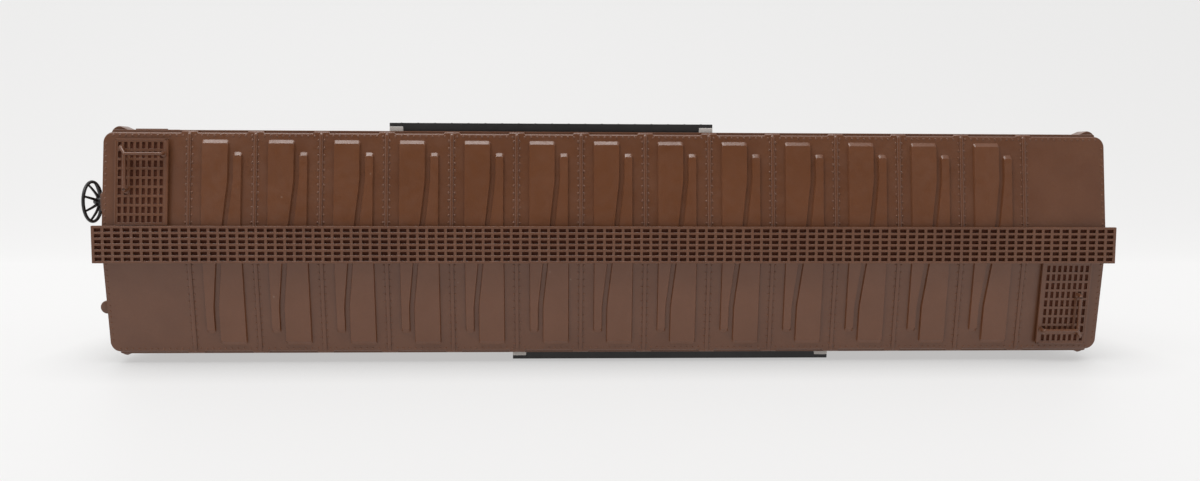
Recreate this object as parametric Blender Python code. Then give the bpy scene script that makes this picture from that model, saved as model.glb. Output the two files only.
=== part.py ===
"""A 40 ft steel box car as an HO model, scale 1:87.

Every size is in millimetres on the model, and MM turns it into metres when a mesh is made.
+X runs along the car towards its A end, -X towards the B end, which carries the hand brake.
+Y is the left side, +Z is up, and the wheel flanges stand on z = 0.
Turned half round about Z the car looks the same, apart from the hand brake gear on the B end.
"""

import math

import bmesh
import bpy
from mathutils import Matrix, Vector

MM = 0.001

# Driving dimensions of the body
ROOF_HALF_LENGTH = 73.0
ROOF_EDGE = 15.95
RIDGE_Z = 51.9
EDGE_Z = 49.9
EAVE = 16.35
SIDE = 15.75
END = 72.7
SILL_Z = 11.4
WALL = 1.3
CORNER_RADIUS = 1.3

# Roof sheets: seams one pitch apart, with a wide and a narrow stamping between two seams
SEAM_COUNT = 14
SEAM_PITCH = 9.365
FIRST_SEAM = -SEAM_PITCH * (SEAM_COUNT - 1) / 2
SEAM_HALF_WIDTH = 0.3
SEAM_HEIGHT = 0.2
STAMPING_RISE = (0.2, 0.5)
NARROW_STAMPING = [(1.85, 13.1), (3.1, 13.1), (3.1, 9.3), (3.95, 1.5), (1.85, 1.5)]
WIDE_STAMPING = [(3.7, 14.95), (7.6, 14.95), (7.6, 1.5), (4.6, 1.5), (3.7, 9.3)]

# Running board and roof platforms
BOARD_HALF_LENGTH = 73.95
BOARD_HALF_WIDTH = 2.66
BOARD_TOP_Z = 52.9
BOARD_THICKNESS = 0.7
PLATFORM_X = (-71.1, -63.6)
PLATFORM_Y = (2.72, 15.0)
PLATFORM_RISE = (0.5, 0.75)

# Doors
DOOR_HALF_WIDTH = 10.8
DOOR_Z = (12.75, 47.3)
DOOR_INNER = 15.95
DOOR_OUTER = 16.9
OPENING_HALF_WIDTH = 10.0
OPENING_Z = (13.4, 46.0)
TRACK_X = (-32.7, 14.8)
TRACK_OUTER = 17.6

# Running gear
TRUCK_CENTRE = 53.65
AXLE_X = 9.6
FLANGE_RADIUS = 5.4
TREAD_RADIUS = 4.8
AXLE_Z = FLANGE_RADIUS
WHEEL_BACK = 7.25
WHEEL_FACE = 10.05
FRAME_INNER = 10.6
FRAME_OUTER = 12.2
BOLSTER_Z = (6.9, 9.2)

# Underframe and couplers
FLOOR_Z = (11.6, 12.8)
FLOOR_HALF = (71.2, 14.3)
SILL_HALF_WIDTH = 2.1
COUPLER_X = 67.0
COUPLER_Z = 10.45
POCKET_X = (62.2, 73.4)
POCKET_HALF_WIDTH = 3.9
COVER_Z = (8.7, 9.25)

# Hand brake on the B end
BRAKE_Y = 5.7
BRAKE_Z = 44.3
BRAKE_HUB_X = -76.5
BRAKE_WHEEL_RADIUS = 3.2

HALF_TURN = math.pi


def roof_z(y):
    """Height of the roof sheet, which falls evenly from the ridge to both edges."""
    return RIDGE_Z - (RIDGE_Z - EDGE_Z) / ROOF_EDGE * abs(y)


# Meshes


def mesh_of(bm, name="shape"):
    bmesh.ops.recalc_face_normals(bm, faces=bm.faces)
    mesh = bpy.data.meshes.new(name)
    bm.to_mesh(mesh)
    bm.free()
    return mesh


def prism(points, axis, low, high):
    """An outline drawn in the plane across the axis, in X, Y, Z order, and extruded along it."""
    bm = bmesh.new()
    across = [i for i in range(3) if i != axis]
    verts = []
    for point in points:
        place = [0.0, 0.0, 0.0]
        place[across[0]] = point[0] * MM
        place[across[1]] = point[1] * MM
        place[axis] = low * MM
        verts.append(bm.verts.new(place))
    face = bm.faces.new(verts)
    made = bmesh.ops.extrude_face_region(bm, geom=[face])
    move = Vector((0.0, 0.0, 0.0))
    move[axis] = (high - low) * MM
    raised = [v for v in made["geom"] if isinstance(v, bmesh.types.BMVert)]
    bmesh.ops.translate(bm, vec=move, verts=raised)
    return mesh_of(bm)


def box(x, y, z):
    """A block from pairs of low and high values."""
    outline = [(x[0], y[0]), (x[1], y[0]), (x[1], y[1]), (x[0], y[1])]
    return prism(outline, 2, z[0], z[1])


def turned(profile, segments=24):
    """A closed profile of (radius, height) points, spun round Z."""
    bm = bmesh.new()
    verts = [bm.verts.new((r * MM, 0.0, z * MM)) for r, z in profile]
    pairs = zip(verts, verts[1:] + verts[:1])
    edges = [bm.edges.new(pair) for pair in pairs]
    bmesh.ops.spin(
        bm,
        geom=verts + edges,
        cent=(0, 0, 0),
        axis=(0, 0, 1),
        angle=2 * math.pi,
        steps=segments,
        use_merge=True,
    )
    bmesh.ops.remove_doubles(bm, verts=bm.verts, dist=MM * 1e-3)
    bmesh.ops.dissolve_degenerate(bm, edges=bm.edges, dist=MM * 1e-3)
    return mesh_of(bm)


def cylinder(radius, low, high, segments=16):
    return turned([(0, low), (radius, low), (radius, high), (0, high)], segments)


def rod(points, radius, sides=8):
    """A round bar along a path."""
    curve = bpy.data.curves.new("rod", "CURVE")
    curve.dimensions = "3D"
    curve.bevel_depth = radius * MM
    curve.bevel_resolution = max(0, sides // 2 - 2)
    curve.use_fill_caps = True
    spline = curve.splines.new("POLY")
    spline.points.add(len(points) - 1)
    for target, point in zip(spline.points, points):
        target.co = (*[value * MM for value in point], 1.0)
    holder = bpy.data.objects.new("rod", curve)
    mesh = bpy.data.meshes.new_from_object(holder)
    bpy.data.objects.remove(holder)
    bm = bmesh.new()
    bm.from_mesh(mesh)
    bmesh.ops.remove_doubles(bm, verts=bm.verts, dist=MM * 1e-3)
    return mesh_of(bm)


def moved(mesh, x=0.0, y=0.0, z=0.0, turn=0.0, axis="Z"):
    """A copy of the mesh, turned about an axis through the origin and then moved."""
    copy = mesh.copy()
    place = Matrix.Translation(Vector((x, y, z)) * MM)
    copy.transform(place @ Matrix.Rotation(turn, 4, axis))
    return copy


def half_turned(mesh):
    """The same shape at the opposite corner of the car."""
    return moved(mesh, turn=HALF_TURN)


def both_ways(meshes):
    return list(meshes) + [half_turned(mesh) for mesh in meshes]


def boolean(base, tools, operation):
    """The base mesh with every tool joined to it, cut from it or intersected with it."""
    scene = bpy.context.scene.collection
    holder = bpy.data.objects.new("base", base)
    scene.objects.link(holder)
    group = bpy.data.collections.new("tools")
    scene.children.link(group)
    for tool in tools:
        group.objects.link(bpy.data.objects.new("tool", tool))
    modifier = holder.modifiers.new("Boolean", "BOOLEAN")
    modifier.operand_type = "COLLECTION"
    modifier.collection = group
    modifier.operation = operation
    modifier.solver = "EXACT"
    bpy.context.view_layer.update()
    graph = bpy.context.evaluated_depsgraph_get()
    result = bpy.data.meshes.new_from_object(holder.evaluated_get(graph))
    for obj in list(group.objects) + [holder]:
        bpy.data.objects.remove(obj)
    bpy.data.collections.remove(group)
    return result


def joined(*meshes):
    return boolean(meshes[0], meshes[1:], "UNION")


def cut(base, *cutters):
    return boolean(base, cutters, "DIFFERENCE")


def rounded_corner_block(half_x, half_y, radius, low, high, steps=4):
    """An upright block centred on the origin with its four upright edges rounded."""
    points = []
    for quarter, (sx, sy) in enumerate([(1, 1), (-1, 1), (-1, -1), (1, -1)]):
        for step in range(steps + 1):
            angle = (quarter + step / steps) * math.pi / 2
            x = sx * (half_x - radius) + radius * math.cos(angle)
            y = sy * (half_y - radius) + radius * math.sin(angle)
            points.append((x, y))
    return prism(points, 2, low, high)


# Materials


def material(name, colour, roughness, metallic=0.0):
    made = bpy.data.materials.new(name)
    made.use_nodes = True
    shader = made.node_tree.nodes["Principled BSDF"]
    shader.inputs["Base Color"].default_value = (*colour, 1.0)
    shader.inputs["Roughness"].default_value = roughness
    shader.inputs["Metallic"].default_value = metallic
    return made


def add(name, mesh, finish, parent=None, smooth=False):
    """One named piece of the car, in its parent's frame or the car's own."""
    piece = bpy.data.objects.new(name, mesh)
    bpy.context.scene.collection.objects.link(piece)
    if not mesh.materials:
        mesh.materials.append(finish)
    if smooth:
        mesh.shade_smooth()
        mesh.set_sharp_from_angle(angle=math.radians(35))
    if parent:
        piece.parent = parent
    return piece


def pivot(name, x, y, z, turn=0.0, parent=None):
    """An empty on a joint's axis, or at the place of a repeated assembly."""
    empty = bpy.data.objects.new(name, None)
    bpy.context.scene.collection.objects.link(empty)
    empty.location = Vector((x, y, z)) * MM
    empty.rotation_euler.z = turn
    if parent:
        empty.parent = parent
    return empty


# Body shell


def roof_sheet():
    """The pitched roof slab with rounded corners."""
    slab = prism(
        [
            (-ROOF_EDGE - 1, 49.1),
            (ROOF_EDGE + 1, 49.1),
            (ROOF_EDGE + 1, roof_z(ROOF_EDGE + 1)),
            (0, RIDGE_Z),
            (-ROOF_EDGE - 1, roof_z(ROOF_EDGE + 1)),
        ],
        0,
        -ROOF_HALF_LENGTH - 1,
        ROOF_HALF_LENGTH + 1,
    )
    plan = rounded_corner_block(ROOF_HALF_LENGTH, ROOF_EDGE, CORNER_RADIUS, 45, 60)
    return boolean(slab, [plan], "INTERSECT")


def on_roof(points):
    """A block with a plan outline on one half of the roof, its top less steep than the sheet."""
    block = prism(points, 2, -0.3, 0.0)
    near, far = STAMPING_RISE
    for vertex in block.vertices:
        y = abs(vertex.co.y / MM)
        if vertex.co.z > -0.1 * MM:
            vertex.co.z += (near + (far - near) * y / ROOF_EDGE) * MM
        vertex.co.z += roof_z(y) * MM
    return block


def seam_caps():
    """A cap over each seam and the tab that folds over the roof's edge at both its ends."""
    half_length = 15.6
    outline = [
        (-half_length, roof_z(half_length) - 0.3),
        (0, RIDGE_Z - 0.3),
        (half_length, roof_z(half_length) - 0.3),
        (half_length, roof_z(half_length) + SEAM_HEIGHT),
        (0, RIDGE_Z + SEAM_HEIGHT),
        (-half_length, roof_z(half_length) + SEAM_HEIGHT),
    ]
    made = []
    for number in range(SEAM_COUNT):
        x = FIRST_SEAM + number * SEAM_PITCH
        made.append(prism(outline, 0, x - SEAM_HALF_WIDTH, x + SEAM_HALF_WIDTH))
        made.append(box((x - 1.1, x + 1.1), (-16.2, 16.2), (49.45, 49.8)))
    return made


def stampings():
    """The raised shapes pressed into each sheet, with the far side's turned half round."""
    made = []
    for number in range(SEAM_COUNT - 1):
        x = FIRST_SEAM + number * SEAM_PITCH
        for outline in (NARROW_STAMPING, WIDE_STAMPING):
            points = [(x + along, -across) for along, across in outline]
            made.append(on_roof(points))
    return both_ways(made)


def corner_post(reach, low, high, taper=0.0):
    """A quarter round on the outside of a corner, as far out as reach, with a tapered tail."""
    face, inner = 72.9, 70.4
    arc = []
    for step in range(5):
        angle = step / 4 * math.pi / 2
        x = face - CORNER_RADIUS + CORNER_RADIUS * math.cos(angle)
        y = reach - CORNER_RADIUS + CORNER_RADIUS * math.sin(angle)
        arc.append((x, y))
    outline = [(inner, 14.8), (face, 14.8), *arc, (inner, reach - taper)]
    right = prism(outline, 2, low, high)
    left = prism([(-x, y) for x, y in outline], 2, low, high)
    return both_ways([right, left])


def corner_posts():
    """The end sheet wraps round each corner of the body, under a proud round cap."""
    return corner_post(16.25, 12.0, 45.2) + corner_post(16.85, 44.8, 47.6, 0.5)


def end_ribs():
    """Level corrugations across both ends."""
    count, pitch, lowest = 8, 4.0, 14.6
    made = []
    for number in range(count):
        z = lowest + number * pitch
        made.append(box((END - 0.5, END + 0.3), (-13.6, 13.6), (z, z + 1.7)))
    return both_ways(made)


def body_shell():
    """Roof, sides and ends in one moulding, open below, with a doorway in each side."""
    walls = rounded_corner_block(END, SIDE, CORNER_RADIUS, SILL_Z, 49.3)
    chord = rounded_corner_block(END + 0.1, EAVE, CORNER_RADIUS, 48.2, 49.35)
    shell = joined(walls, chord, roof_sheet(), *corner_posts(), *end_ribs())
    inner = SIDE - WALL
    hollow = prism(
        [(-inner, 5), (inner, 5), (inner, 48.4), (0, 50.5), (-inner, 48.4)],
        0,
        -END + WALL,
        END - WALL,
    )
    reach = OPENING_HALF_WIDTH
    doorway = box((-reach, reach), (-20, 20), OPENING_Z)
    pocket = POCKET_HALF_WIDTH + 0.1
    notch = box((-80, 80), (-pocket, pocket), (10, FLOOR_Z[0] + 0.3))
    return joined(cut(shell, hollow, doorway, notch), *seam_caps(), *stampings())


# Roof fittings


def running_board():
    """The walk along the ridge, on a wedge-shaped saddle over each seam."""
    low = BOARD_TOP_Z - BOARD_THICKNESS
    length, width = BOARD_HALF_LENGTH, BOARD_HALF_WIDTH
    board = box((-length, length), (-width, width), (low, BOARD_TOP_Z))
    gap = 0.05
    foot = 2.4
    saddle = [
        (-foot, low + 0.2),
        (-foot, roof_z(foot) + SEAM_HEIGHT + gap),
        (-0.6, low - 0.02),
        (0.6, low - 0.02),
        (foot, roof_z(foot) + SEAM_HEIGHT + gap),
        (foot, low + 0.2),
    ]
    saddles = []
    for number in range(SEAM_COUNT):
        x = FIRST_SEAM + number * SEAM_PITCH
        saddles.append(prism(saddle, 0, x - 0.4, x + 0.4))
    return joined(board, *saddles)


def roof_platform():
    """The grating beside the ladder at one corner, a little less steep than the roof."""
    near, far = PLATFORM_Y
    gap = 0.06
    outline = [
        (near, roof_z(near) + gap),
        (far, roof_z(far) + gap),
        (far, roof_z(far) + PLATFORM_RISE[1]),
        (near, roof_z(near) + PLATFORM_RISE[0]),
    ]
    return prism(outline, 0, *PLATFORM_X)


def platform_top(y):
    near, far = PLATFORM_Y
    share = (y - near) / (far - near)
    low = roof_z(near) + PLATFORM_RISE[0]
    high = roof_z(far) + PLATFORM_RISE[1]
    return low + share * (high - low)


def roof_grab():
    """The L-shaped hand hold on a platform, with a foot at its corner and at both ends."""
    radius, stand_off, foot = 0.28, 0.8, 0.35
    corner, brace_foot = (-69.4, 12.85), (-70.1, 13.7)
    ends = [(-64.25, 12.85), (-69.4, 7.6)]

    def at(x, y, rise):
        return (x, y, platform_top(y) + rise)

    bars = [rod([at(*ends[0], foot), at(*ends[0], stand_off), at(*corner, stand_off)], radius)]
    bars.append(rod([at(*corner, stand_off), at(*ends[1], stand_off), at(*ends[1], foot)], radius))
    bars.append(rod([at(*corner, stand_off), at(*brace_foot, foot)], radius))
    return joined(*bars)


# Sides


def door():
    """A sliding steel door: a plate with a proud frame, two cross bars and level ribs."""
    wide, (low, high) = DOOR_HALF_WIDTH, DOOR_Z
    plate_face, edge = 16.45, 1.1
    plate = box((-wide, wide), (DOOR_INNER, plate_face), (low, high))
    proud = (plate_face - 0.3, DOOR_OUTER)
    frame = [
        box((-wide, -wide + edge), proud, (low, high)),
        box((wide - edge, wide), proud, (low, high)),
        box((-wide, wide), proud, (low, low + edge)),
        box((-wide, wide), proud, (high - edge, high)),
    ]
    panel = (high - low) / 3
    bars = []
    for number in (1, 2):
        z = low + number * panel
        bars.append(box((-wide + 0.5, wide - 0.5), proud, (z - 0.6, z + 0.6)))
    ribs = []
    for number in range(3):
        for rib in (1, 2, 3):
            z = low + number * panel + rib * panel / 4
            ribs.append(box((-wide + 2, wide - 2), (16.2, 16.75), (z - 0.5, z + 0.5)))
    return joined(plate, *frame, *bars, *ribs)


def upper_track():
    """A channel over the door, open below, closed by a stop at each end."""
    top, web, lip_low = 48.05, 0.5, 46.3
    back, lip = SIDE + 0.1, TRACK_OUTER - 0.5
    stop = 2.0
    channel = prism(
        [
            (back, top - web),
            (lip, top - web),
            (lip, lip_low),
            (TRACK_OUTER, lip_low),
            (TRACK_OUTER, top),
            (back, top),
        ],
        0,
        *TRACK_X,
    )
    left = box((TRACK_X[0], TRACK_X[0] + stop), (back, lip - 0.1), (46.6, top + 0.1))
    right = box((TRACK_X[1] - stop, TRACK_X[1]), (back, lip - 0.1), (46.6, top + 0.1))
    return joined(channel, left, right)


def lower_track():
    """The channel that the door stands in."""
    low, web, lip_high = 12.0, 0.5, 13.6
    back, lip = SIDE + 0.1, TRACK_OUTER - 0.5
    outline = [
        (back, low),
        (TRACK_OUTER, low),
        (TRACK_OUTER, lip_high),
        (lip, lip_high),
        (lip, low + web),
        (back, low + web),
    ]
    return prism(outline, 0, *TRACK_X)


def ladder(low, high, rungs, width, depth):
    """A ladder that stands in the XZ plane, its back on y = 0 and its feet on the car."""
    stile, bar = 0.4, 0.32
    foot = 0.35
    shapes = []
    for x in (0.0, width - stile):
        shapes.append(box((x, x + stile), (foot, depth), (low, high)))
        for z in (low + 0.3, (low + high) / 2, high - 0.7):
            shapes.append(box((x + 0.03, x + stile - 0.03), (0, foot + 0.1), (z, z + 0.4)))
    step = (high - low - 2.0) / (rungs - 1)
    for number in range(rungs):
        z = low + 1.0 + number * step
        shapes.append(box((0.2, width - 0.2), (foot + 0.07, foot + 0.07 + bar), (z, z + bar)))
    return joined(*shapes)


def side_ladder():
    """The eight-rung ladder beside a corner post, on the left side at the B end."""
    return moved(ladder(12.6, 47.2, 8, 4.8, 0.5), x=-70.0, y=SIDE + 0.05)


def end_ladder():
    """The ladder beside the corner of an end, here the B end's."""
    upright = ladder(14.0, 46.6, 8, 4.6, 0.85)
    return moved(upright, x=-(END + 0.35), y=9.9, turn=math.pi / 2)


def sill_step():
    """A strap step that hangs below the side sill, centred on the origin in X."""
    half, strap, low, high = 2.2, 0.4, 8.0, SILL_Z - 0.06
    outline = [
        (-half, high),
        (-half, low),
        (half, low),
        (half, high),
        (half - strap, high),
        (half - strap, low + strap),
        (-half + strap, low + strap),
        (-half + strap, high),
    ]
    return prism(outline, 1, 14.95, 15.7)


# Hand brake and end fittings


def brake_housing():
    """The gear box behind the brake wheel, with a blind bore for the wheel's shaft."""
    face = BRAKE_HUB_X + 1.0
    back = -(END + 0.35)
    low, high = BRAKE_Z - 2.4, BRAKE_Z + 2.1
    outline = [
        (BRAKE_Y - 1.2, low),
        (BRAKE_Y + 1.2, low),
        (BRAKE_Y + 1.9, BRAKE_Z - 0.4),
        (BRAKE_Y + 1.3, high),
        (BRAKE_Y - 1.3, high),
        (BRAKE_Y - 1.9, BRAKE_Z - 0.4),
    ]
    block = prism(outline, 0, face, back)
    bore = moved(cylinder(0.5, -1.5, 1.3, 12), face, BRAKE_Y, BRAKE_Z, math.pi / 2, "Y")
    return cut(block, bore)


def brake_rod():
    """The upright rod from the housing down to the underframe, with its clevis."""
    x = -(END + 1.0)
    high = BRAKE_Z - 2.5
    bar = rod([(x, BRAKE_Y, 10.3), (x, BRAKE_Y, high)], 0.3)
    clevis = box((x - 0.5, x + 0.5), (BRAKE_Y - 0.45, BRAKE_Y + 0.45), (10.0, 11.3))
    return joined(bar, clevis)


def brake_step():
    """The foot board under the brake wheel, cut out for the rod, on two brackets."""
    back, front = -(END + 0.35), -(END + 3.0)
    low, high = 33.0, 33.5
    board = box((front, back), (BRAKE_Y - 4.6, BRAKE_Y + 3.9), (low, high))
    x = -(END + 1.0)
    notch = box((x - 0.6, 0), (BRAKE_Y - 0.6, BRAKE_Y + 0.6), (30, 36))
    brackets = []
    for y in (BRAKE_Y - 3.9, BRAKE_Y + 2.8):
        outline = [(front + 0.4, low + 0.1), (back, low + 0.1), (back, low - 2.2)]
        brackets.append(prism([(a, b) for a, b in outline], 1, y, y + 0.4))
    return joined(cut(board, notch), *brackets)


def retainer_valve():
    """The small round valve high on the B end, with its pipe down to the underframe."""
    x, y = -74.1, -9.6
    body = moved(cylinder(0.97, 45.9, 48.5, 16), x, y)
    flange = box((x - 0.7, -(END + 0.06)), (y - 0.75, y + 0.75), (47.4, 48.1))
    pipe = rod([(x + 0.55, y, 46.0), (x + 0.55, y, 12.6)], 0.22)
    return joined(body, flange, pipe)


def brake_wheel():
    """A dished wheel with eight spokes, its hub on the origin and its shaft towards +X."""
    rim_x, tube = -1.0, 0.24
    ring = BRAKE_WHEEL_RADIUS - tube
    section = [(ring - tube, 0), (ring, -tube), (ring + tube, 0), (ring, tube)]
    rim = moved(turned(section, 32), rim_x, turn=math.pi / 2, axis="Y")
    hub = moved(turned([(0, -0.45), (0.75, -0.35), (0.75, 0.7), (0, 0.7)], 12), turn=math.pi / 2, axis="Y")
    shaft = moved(cylinder(0.4, 0.5, 2.1, 12), turn=math.pi / 2, axis="Y")
    spokes = []
    for number in range(8):
        angle = math.radians(27 + 45 * number)
        tip = (rim_x, ring * math.cos(angle), ring * math.sin(angle))
        spokes.append(rod([(0, 0.4 * math.cos(angle), 0.4 * math.sin(angle)), tip], 0.17, 6))
    return joined(hub, shaft, rim, *spokes)


# Underframe


def underframe():
    """Floor, centre sill, bolsters, cross members and coupler pockets in one moulding."""
    under = FLOOR_Z[0] + 0.2
    floor = box((-FLOOR_HALF[0], FLOOR_HALF[0]), (-FLOOR_HALF[1], FLOOR_HALF[1]), FLOOR_Z)
    sill = SILL_HALF_WIDTH
    shapes = [
        box((-POCKET_X[0] - 0.5, POCKET_X[0] + 0.5), (-sill, sill), (9.9, under)),
        box((-36, 36), (-sill - 0.15, sill + 0.15), (8.5, under)),
    ]
    bolster = [(-13.6, under), (-13.6, 10.9), (-5, 9.7), (5, 9.7), (13.6, 10.9), (13.6, under)]
    beam = [(-13.8, under), (-13.8, 10.8), (-4, 9.4), (4, 9.4), (13.8, 10.8), (13.8, under)]
    for x in (-TRUCK_CENTRE, TRUCK_CENTRE):
        shapes.append(prism(bolster, 0, x - 2.5, x + 2.5))
        shapes.append(moved(cylinder(2.8, 9.3, 10.0), x))
    for x in (-17.0, 17.0):
        shapes.append(prism(beam, 0, x - 1.0, x + 1.0))
    for x in (-34.0, -25.5, 0.0, 25.5, 34.0):
        shapes.append(box((x - 0.4, x + 0.4), (-13.8, 13.8), (10.7, under)))
    half = POCKET_HALF_WIDTH
    pocket = box(POCKET_X, (-half, half), (COVER_Z[1] + 0.05, under))
    shapes += both_ways([pocket])
    frame = joined(floor, *shapes)
    cavity = box((64.7, 80), (-3.1, 3.1), (5, FLOOR_Z[0]))
    kingpin_hole = moved(cylinder(1.05, 5, 11.3), TRUCK_CENTRE)
    screw_hole = moved(cylinder(0.65, 5, 11.0, 12), 63.45)
    cutters = both_ways([cavity, kingpin_hole, screw_hole])
    post = moved(cylinder(1.0, COVER_Z[1] + 0.05, under), COUPLER_X)
    return joined(cut(frame, *cutters), *both_ways([post]))


def coupler_cover():
    """The plate that closes a coupler pocket from below."""
    plate = box(POCKET_X, (-POCKET_HALF_WIDTH, POCKET_HALF_WIDTH), COVER_Z)
    hole = moved(cylinder(0.75, 5, 12, 12), 63.45)
    return cut(plate, hole)


def coupler_screw():
    """Pan-head screw, its tip up, centred on its own axis."""
    under_head = COVER_Z[0] - 0.05
    profile = [
        (0, under_head - 0.6),
        (0.9, under_head - 0.5),
        (1.2, under_head),
        (0.58, under_head),
        (0.58, 10.7),
        (0, 10.9),
    ]
    return turned(profile, 12)


def kingpin_screw():
    """The screw that a truck turns on."""
    under_head = BOLSTER_Z[0] - 0.12
    profile = [
        (0, under_head - 0.75),
        (1.6, under_head - 0.65),
        (2.0, under_head - 0.2),
        (2.0, under_head),
        (1.0, under_head),
        (1.0, 10.9),
        (0, 11.15),
    ]
    return turned(profile, 16)


def brake_cylinder():
    """A drum with a piston head towards the B end, and its bracket to the floor."""
    drum = turned([(0, -3.4), (1.0, -3.2), (1.6, -2.4), (1.75, -2.2), (1.75, 2.6), (1.5, 3.0), (0, 3.0)], 16)
    flange = cylinder(2.0, -2.5, -2.1)
    push_rod = cylinder(0.3, -5.2, -3.0, 8)
    whole = moved(joined(drum, flange, push_rod), -8.5, 7.6, 9.35, math.pi / 2, "Y")
    bracket = box((-9.6, -7.2), (6.9, 8.3), (10.6, FLOOR_Z[0] - 0.06))
    return joined(whole, bracket)


def air_reservoir():
    """A long tank with domed ends, hung from the floor by a bracket."""
    tank = turned([(0, -6.2), (1.3, -5.9), (1.8, -5.2), (1.8, 5.2), (1.3, 5.9), (0, 6.2)], 16)
    band = cylinder(1.92, -0.25, 0.25)
    whole = moved(joined(tank, band), 8.5, -7.8, 9.45, math.pi / 2, "Y")
    bracket = box((6.5, 10.5), (-8.6, -7.0), (10.8, FLOOR_Z[0] - 0.06))
    return joined(whole, bracket)


def control_valve():
    """Three bolted castings in a row under one bracket."""
    centre = box((5.6, 8.4), (6.4, 8.8), (8.4, 10.8))
    left = moved(cylinder(0.95, -1.2, 1.2, 12), 4.9, 7.6, 9.6, math.pi / 2, "Y")
    right = moved(cylinder(0.95, -1.2, 1.2, 12), 9.1, 7.6, 9.6, math.pi / 2, "Y")
    bracket = box((6.2, 7.8), (6.8, 8.4), (10.6, FLOOR_Z[0] - 0.06))
    return joined(centre, left, right, bracket)


def brake_rigging():
    """The floating lever beside the centre sill and the pull rods to both trucks."""
    lever = prism([(-16, 3.0), (-14.9, 3.0), (-13.7, 8.4), (-14.3, 8.6), (-15.1, 8.2)], 2, 8.8, 9.2)
    long_rod = rod([(-15.4, 3.3, 9.0), (36.0, 3.3, 9.0)], 0.22)
    short_rod = rod([(-15.4, 4.0, 9.0), (-36.0, 3.6, 9.0)], 0.22)
    hanger = box((-0.2, 0.2), (3.05, 3.55), (8.9, 10.6))
    return joined(lever, long_rod, short_rod, hanger)


def weight_plate():
    """The steel slab on the floor that gives the car its weight."""
    return box((-50, 50), (-12.5, 12.5), (12.9, 15.3))


# Trucks


def side_frame():
    """One cast side frame with two windows, journal boxes and a spring nest, on its outer face."""
    half = [
        (4.2, 2.0),
        (7.9, 3.9),
        (11.4, 3.9),
        (11.4, 7.0),
        (8.4, 7.5),
        (4.6, 9.1),
    ]
    outline = half + [(-x, z) for x, z in reversed(half)]
    plate = prism(outline, 1, FRAME_INNER, FRAME_OUTER)
    window = [(3.4, 3.7), (6.8, 5.3), (6.8, 6.3), (3.4, 7.6)]
    right = prism(window, 1, 9, 14)
    left = prism([(-x, z) for x, z in window], 1, 9, 14)
    journals = []
    for x in (-AXLE_X, AXLE_X):
        journals.append(box((x - 1.2, x + 1.2), (FRAME_OUTER - 0.4, FRAME_OUTER + 0.7), (4.3, 6.9)))
    nest = box((-2.2, 2.2), (FRAME_OUTER - 0.4, FRAME_OUTER + 0.3), (2.9, 6.6))
    return joined(cut(plate, left, right), *journals, nest)


def truck_frame():
    """Two side frames and the bolster between them, with cone bearings for the axle points."""
    one = side_frame()
    reach = FRAME_INNER + 0.5
    bolster = box((-1.7, 1.7), (-reach, reach), BOLSTER_Z)
    centre = cylinder(2.6, *BOLSTER_Z)
    frame = joined(bolster, centre, one, half_turned(one))
    cone = turned([(0, -0.5), (1.25, -0.5), (1.05, 0), (0.3, 1.35), (0, 1.35)], 12)
    bearings = []
    for x in (-AXLE_X, AXLE_X):
        bearings.append(moved(moved(cone, turn=-math.pi / 2, axis="X"), x, FRAME_INNER, AXLE_Z))
    king_hole = cylinder(1.2, 5, 12)
    return cut(frame, *both_ways(bearings), king_hole)


def axle():
    """A pinpoint axle along Y."""
    half = [(0.0, 11.75), (0.7, 10.55), (0.9, 10.4), (0.9, 7.0), (0.75, 6.6)]
    profile = half + [(r, -y) for r, y in reversed(half)]
    return moved(turned(profile, 12), turn=-math.pi / 2, axis="X")


def wheel():
    """A wheel on the left end of an axle: flange at the back, coned tread, dished plate, hub."""
    back, face = WHEEL_BACK, WHEEL_FACE
    bore = 0.95
    profile = [
        (bore, back),
        (TREAD_RADIUS, back),
        (FLANGE_RADIUS - 0.2, back + 0.1),
        (FLANGE_RADIUS, back + 0.35),
        (FLANGE_RADIUS - 0.2, back + 0.6),
        (TREAD_RADIUS + 0.05, back + 0.85),
        (TREAD_RADIUS - 0.05, face),
        (TREAD_RADIUS - 0.75, face),
        (TREAD_RADIUS - 0.95, face - 0.75),
        (1.8, face - 0.6),
        (1.6, face - 0.05),
        (bore, face - 0.05),
    ]
    return moved(turned(profile, 28), turn=-math.pi / 2, axis="X")


# Couplers, pointing towards +X, with the swing pivot on the origin


def disc(x, y, radius, low, high, segments=12):
    return moved(cylinder(radius, low, high, segments), x, y)


KNUCKLE_PIN = (9.0, 2.1)


def coupler():
    """Shank, head with a guard arm, and two lugs with the pin that holds the knuckle."""
    shank = box((-0.5, 7.6), (-1.25, 1.25), (-0.7, 0.7))
    eye = cylinder(1.9, -0.7, 0.7, 20)
    outline = [
        (7.0, -1.3),
        (7.7, -2.6),
        (10.9, -3.1),
        (11.7, -2.6),
        (10.9, -2.1),
        (9.2, -1.5),
        (8.3, -0.4),
        (8.0, 0.9),
        (7.6, 2.6),
        (7.0, 1.3),
    ]
    head = prism(outline, 2, -1.6, 1.6)
    pin_x, pin_y = KNUCKLE_PIN
    lugs = []
    for low, high in ((0.62, 1.6), (-1.6, -0.62)):
        lugs.append(disc(pin_x, pin_y, 1.0, low, high))
        arm = [(7.3, 1.2), (pin_x - 0.2, pin_y - 0.95), (pin_x, pin_y + 0.98), (7.5, 2.6)]
        lugs.append(prism(arm, 2, low, high))
    pin = disc(pin_x, pin_y, 0.35, -1.5, 1.5)
    whole = joined(shank, eye, head, *lugs, pin)
    return cut(whole, cylinder(1.15, -2, 2, 20))


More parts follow.
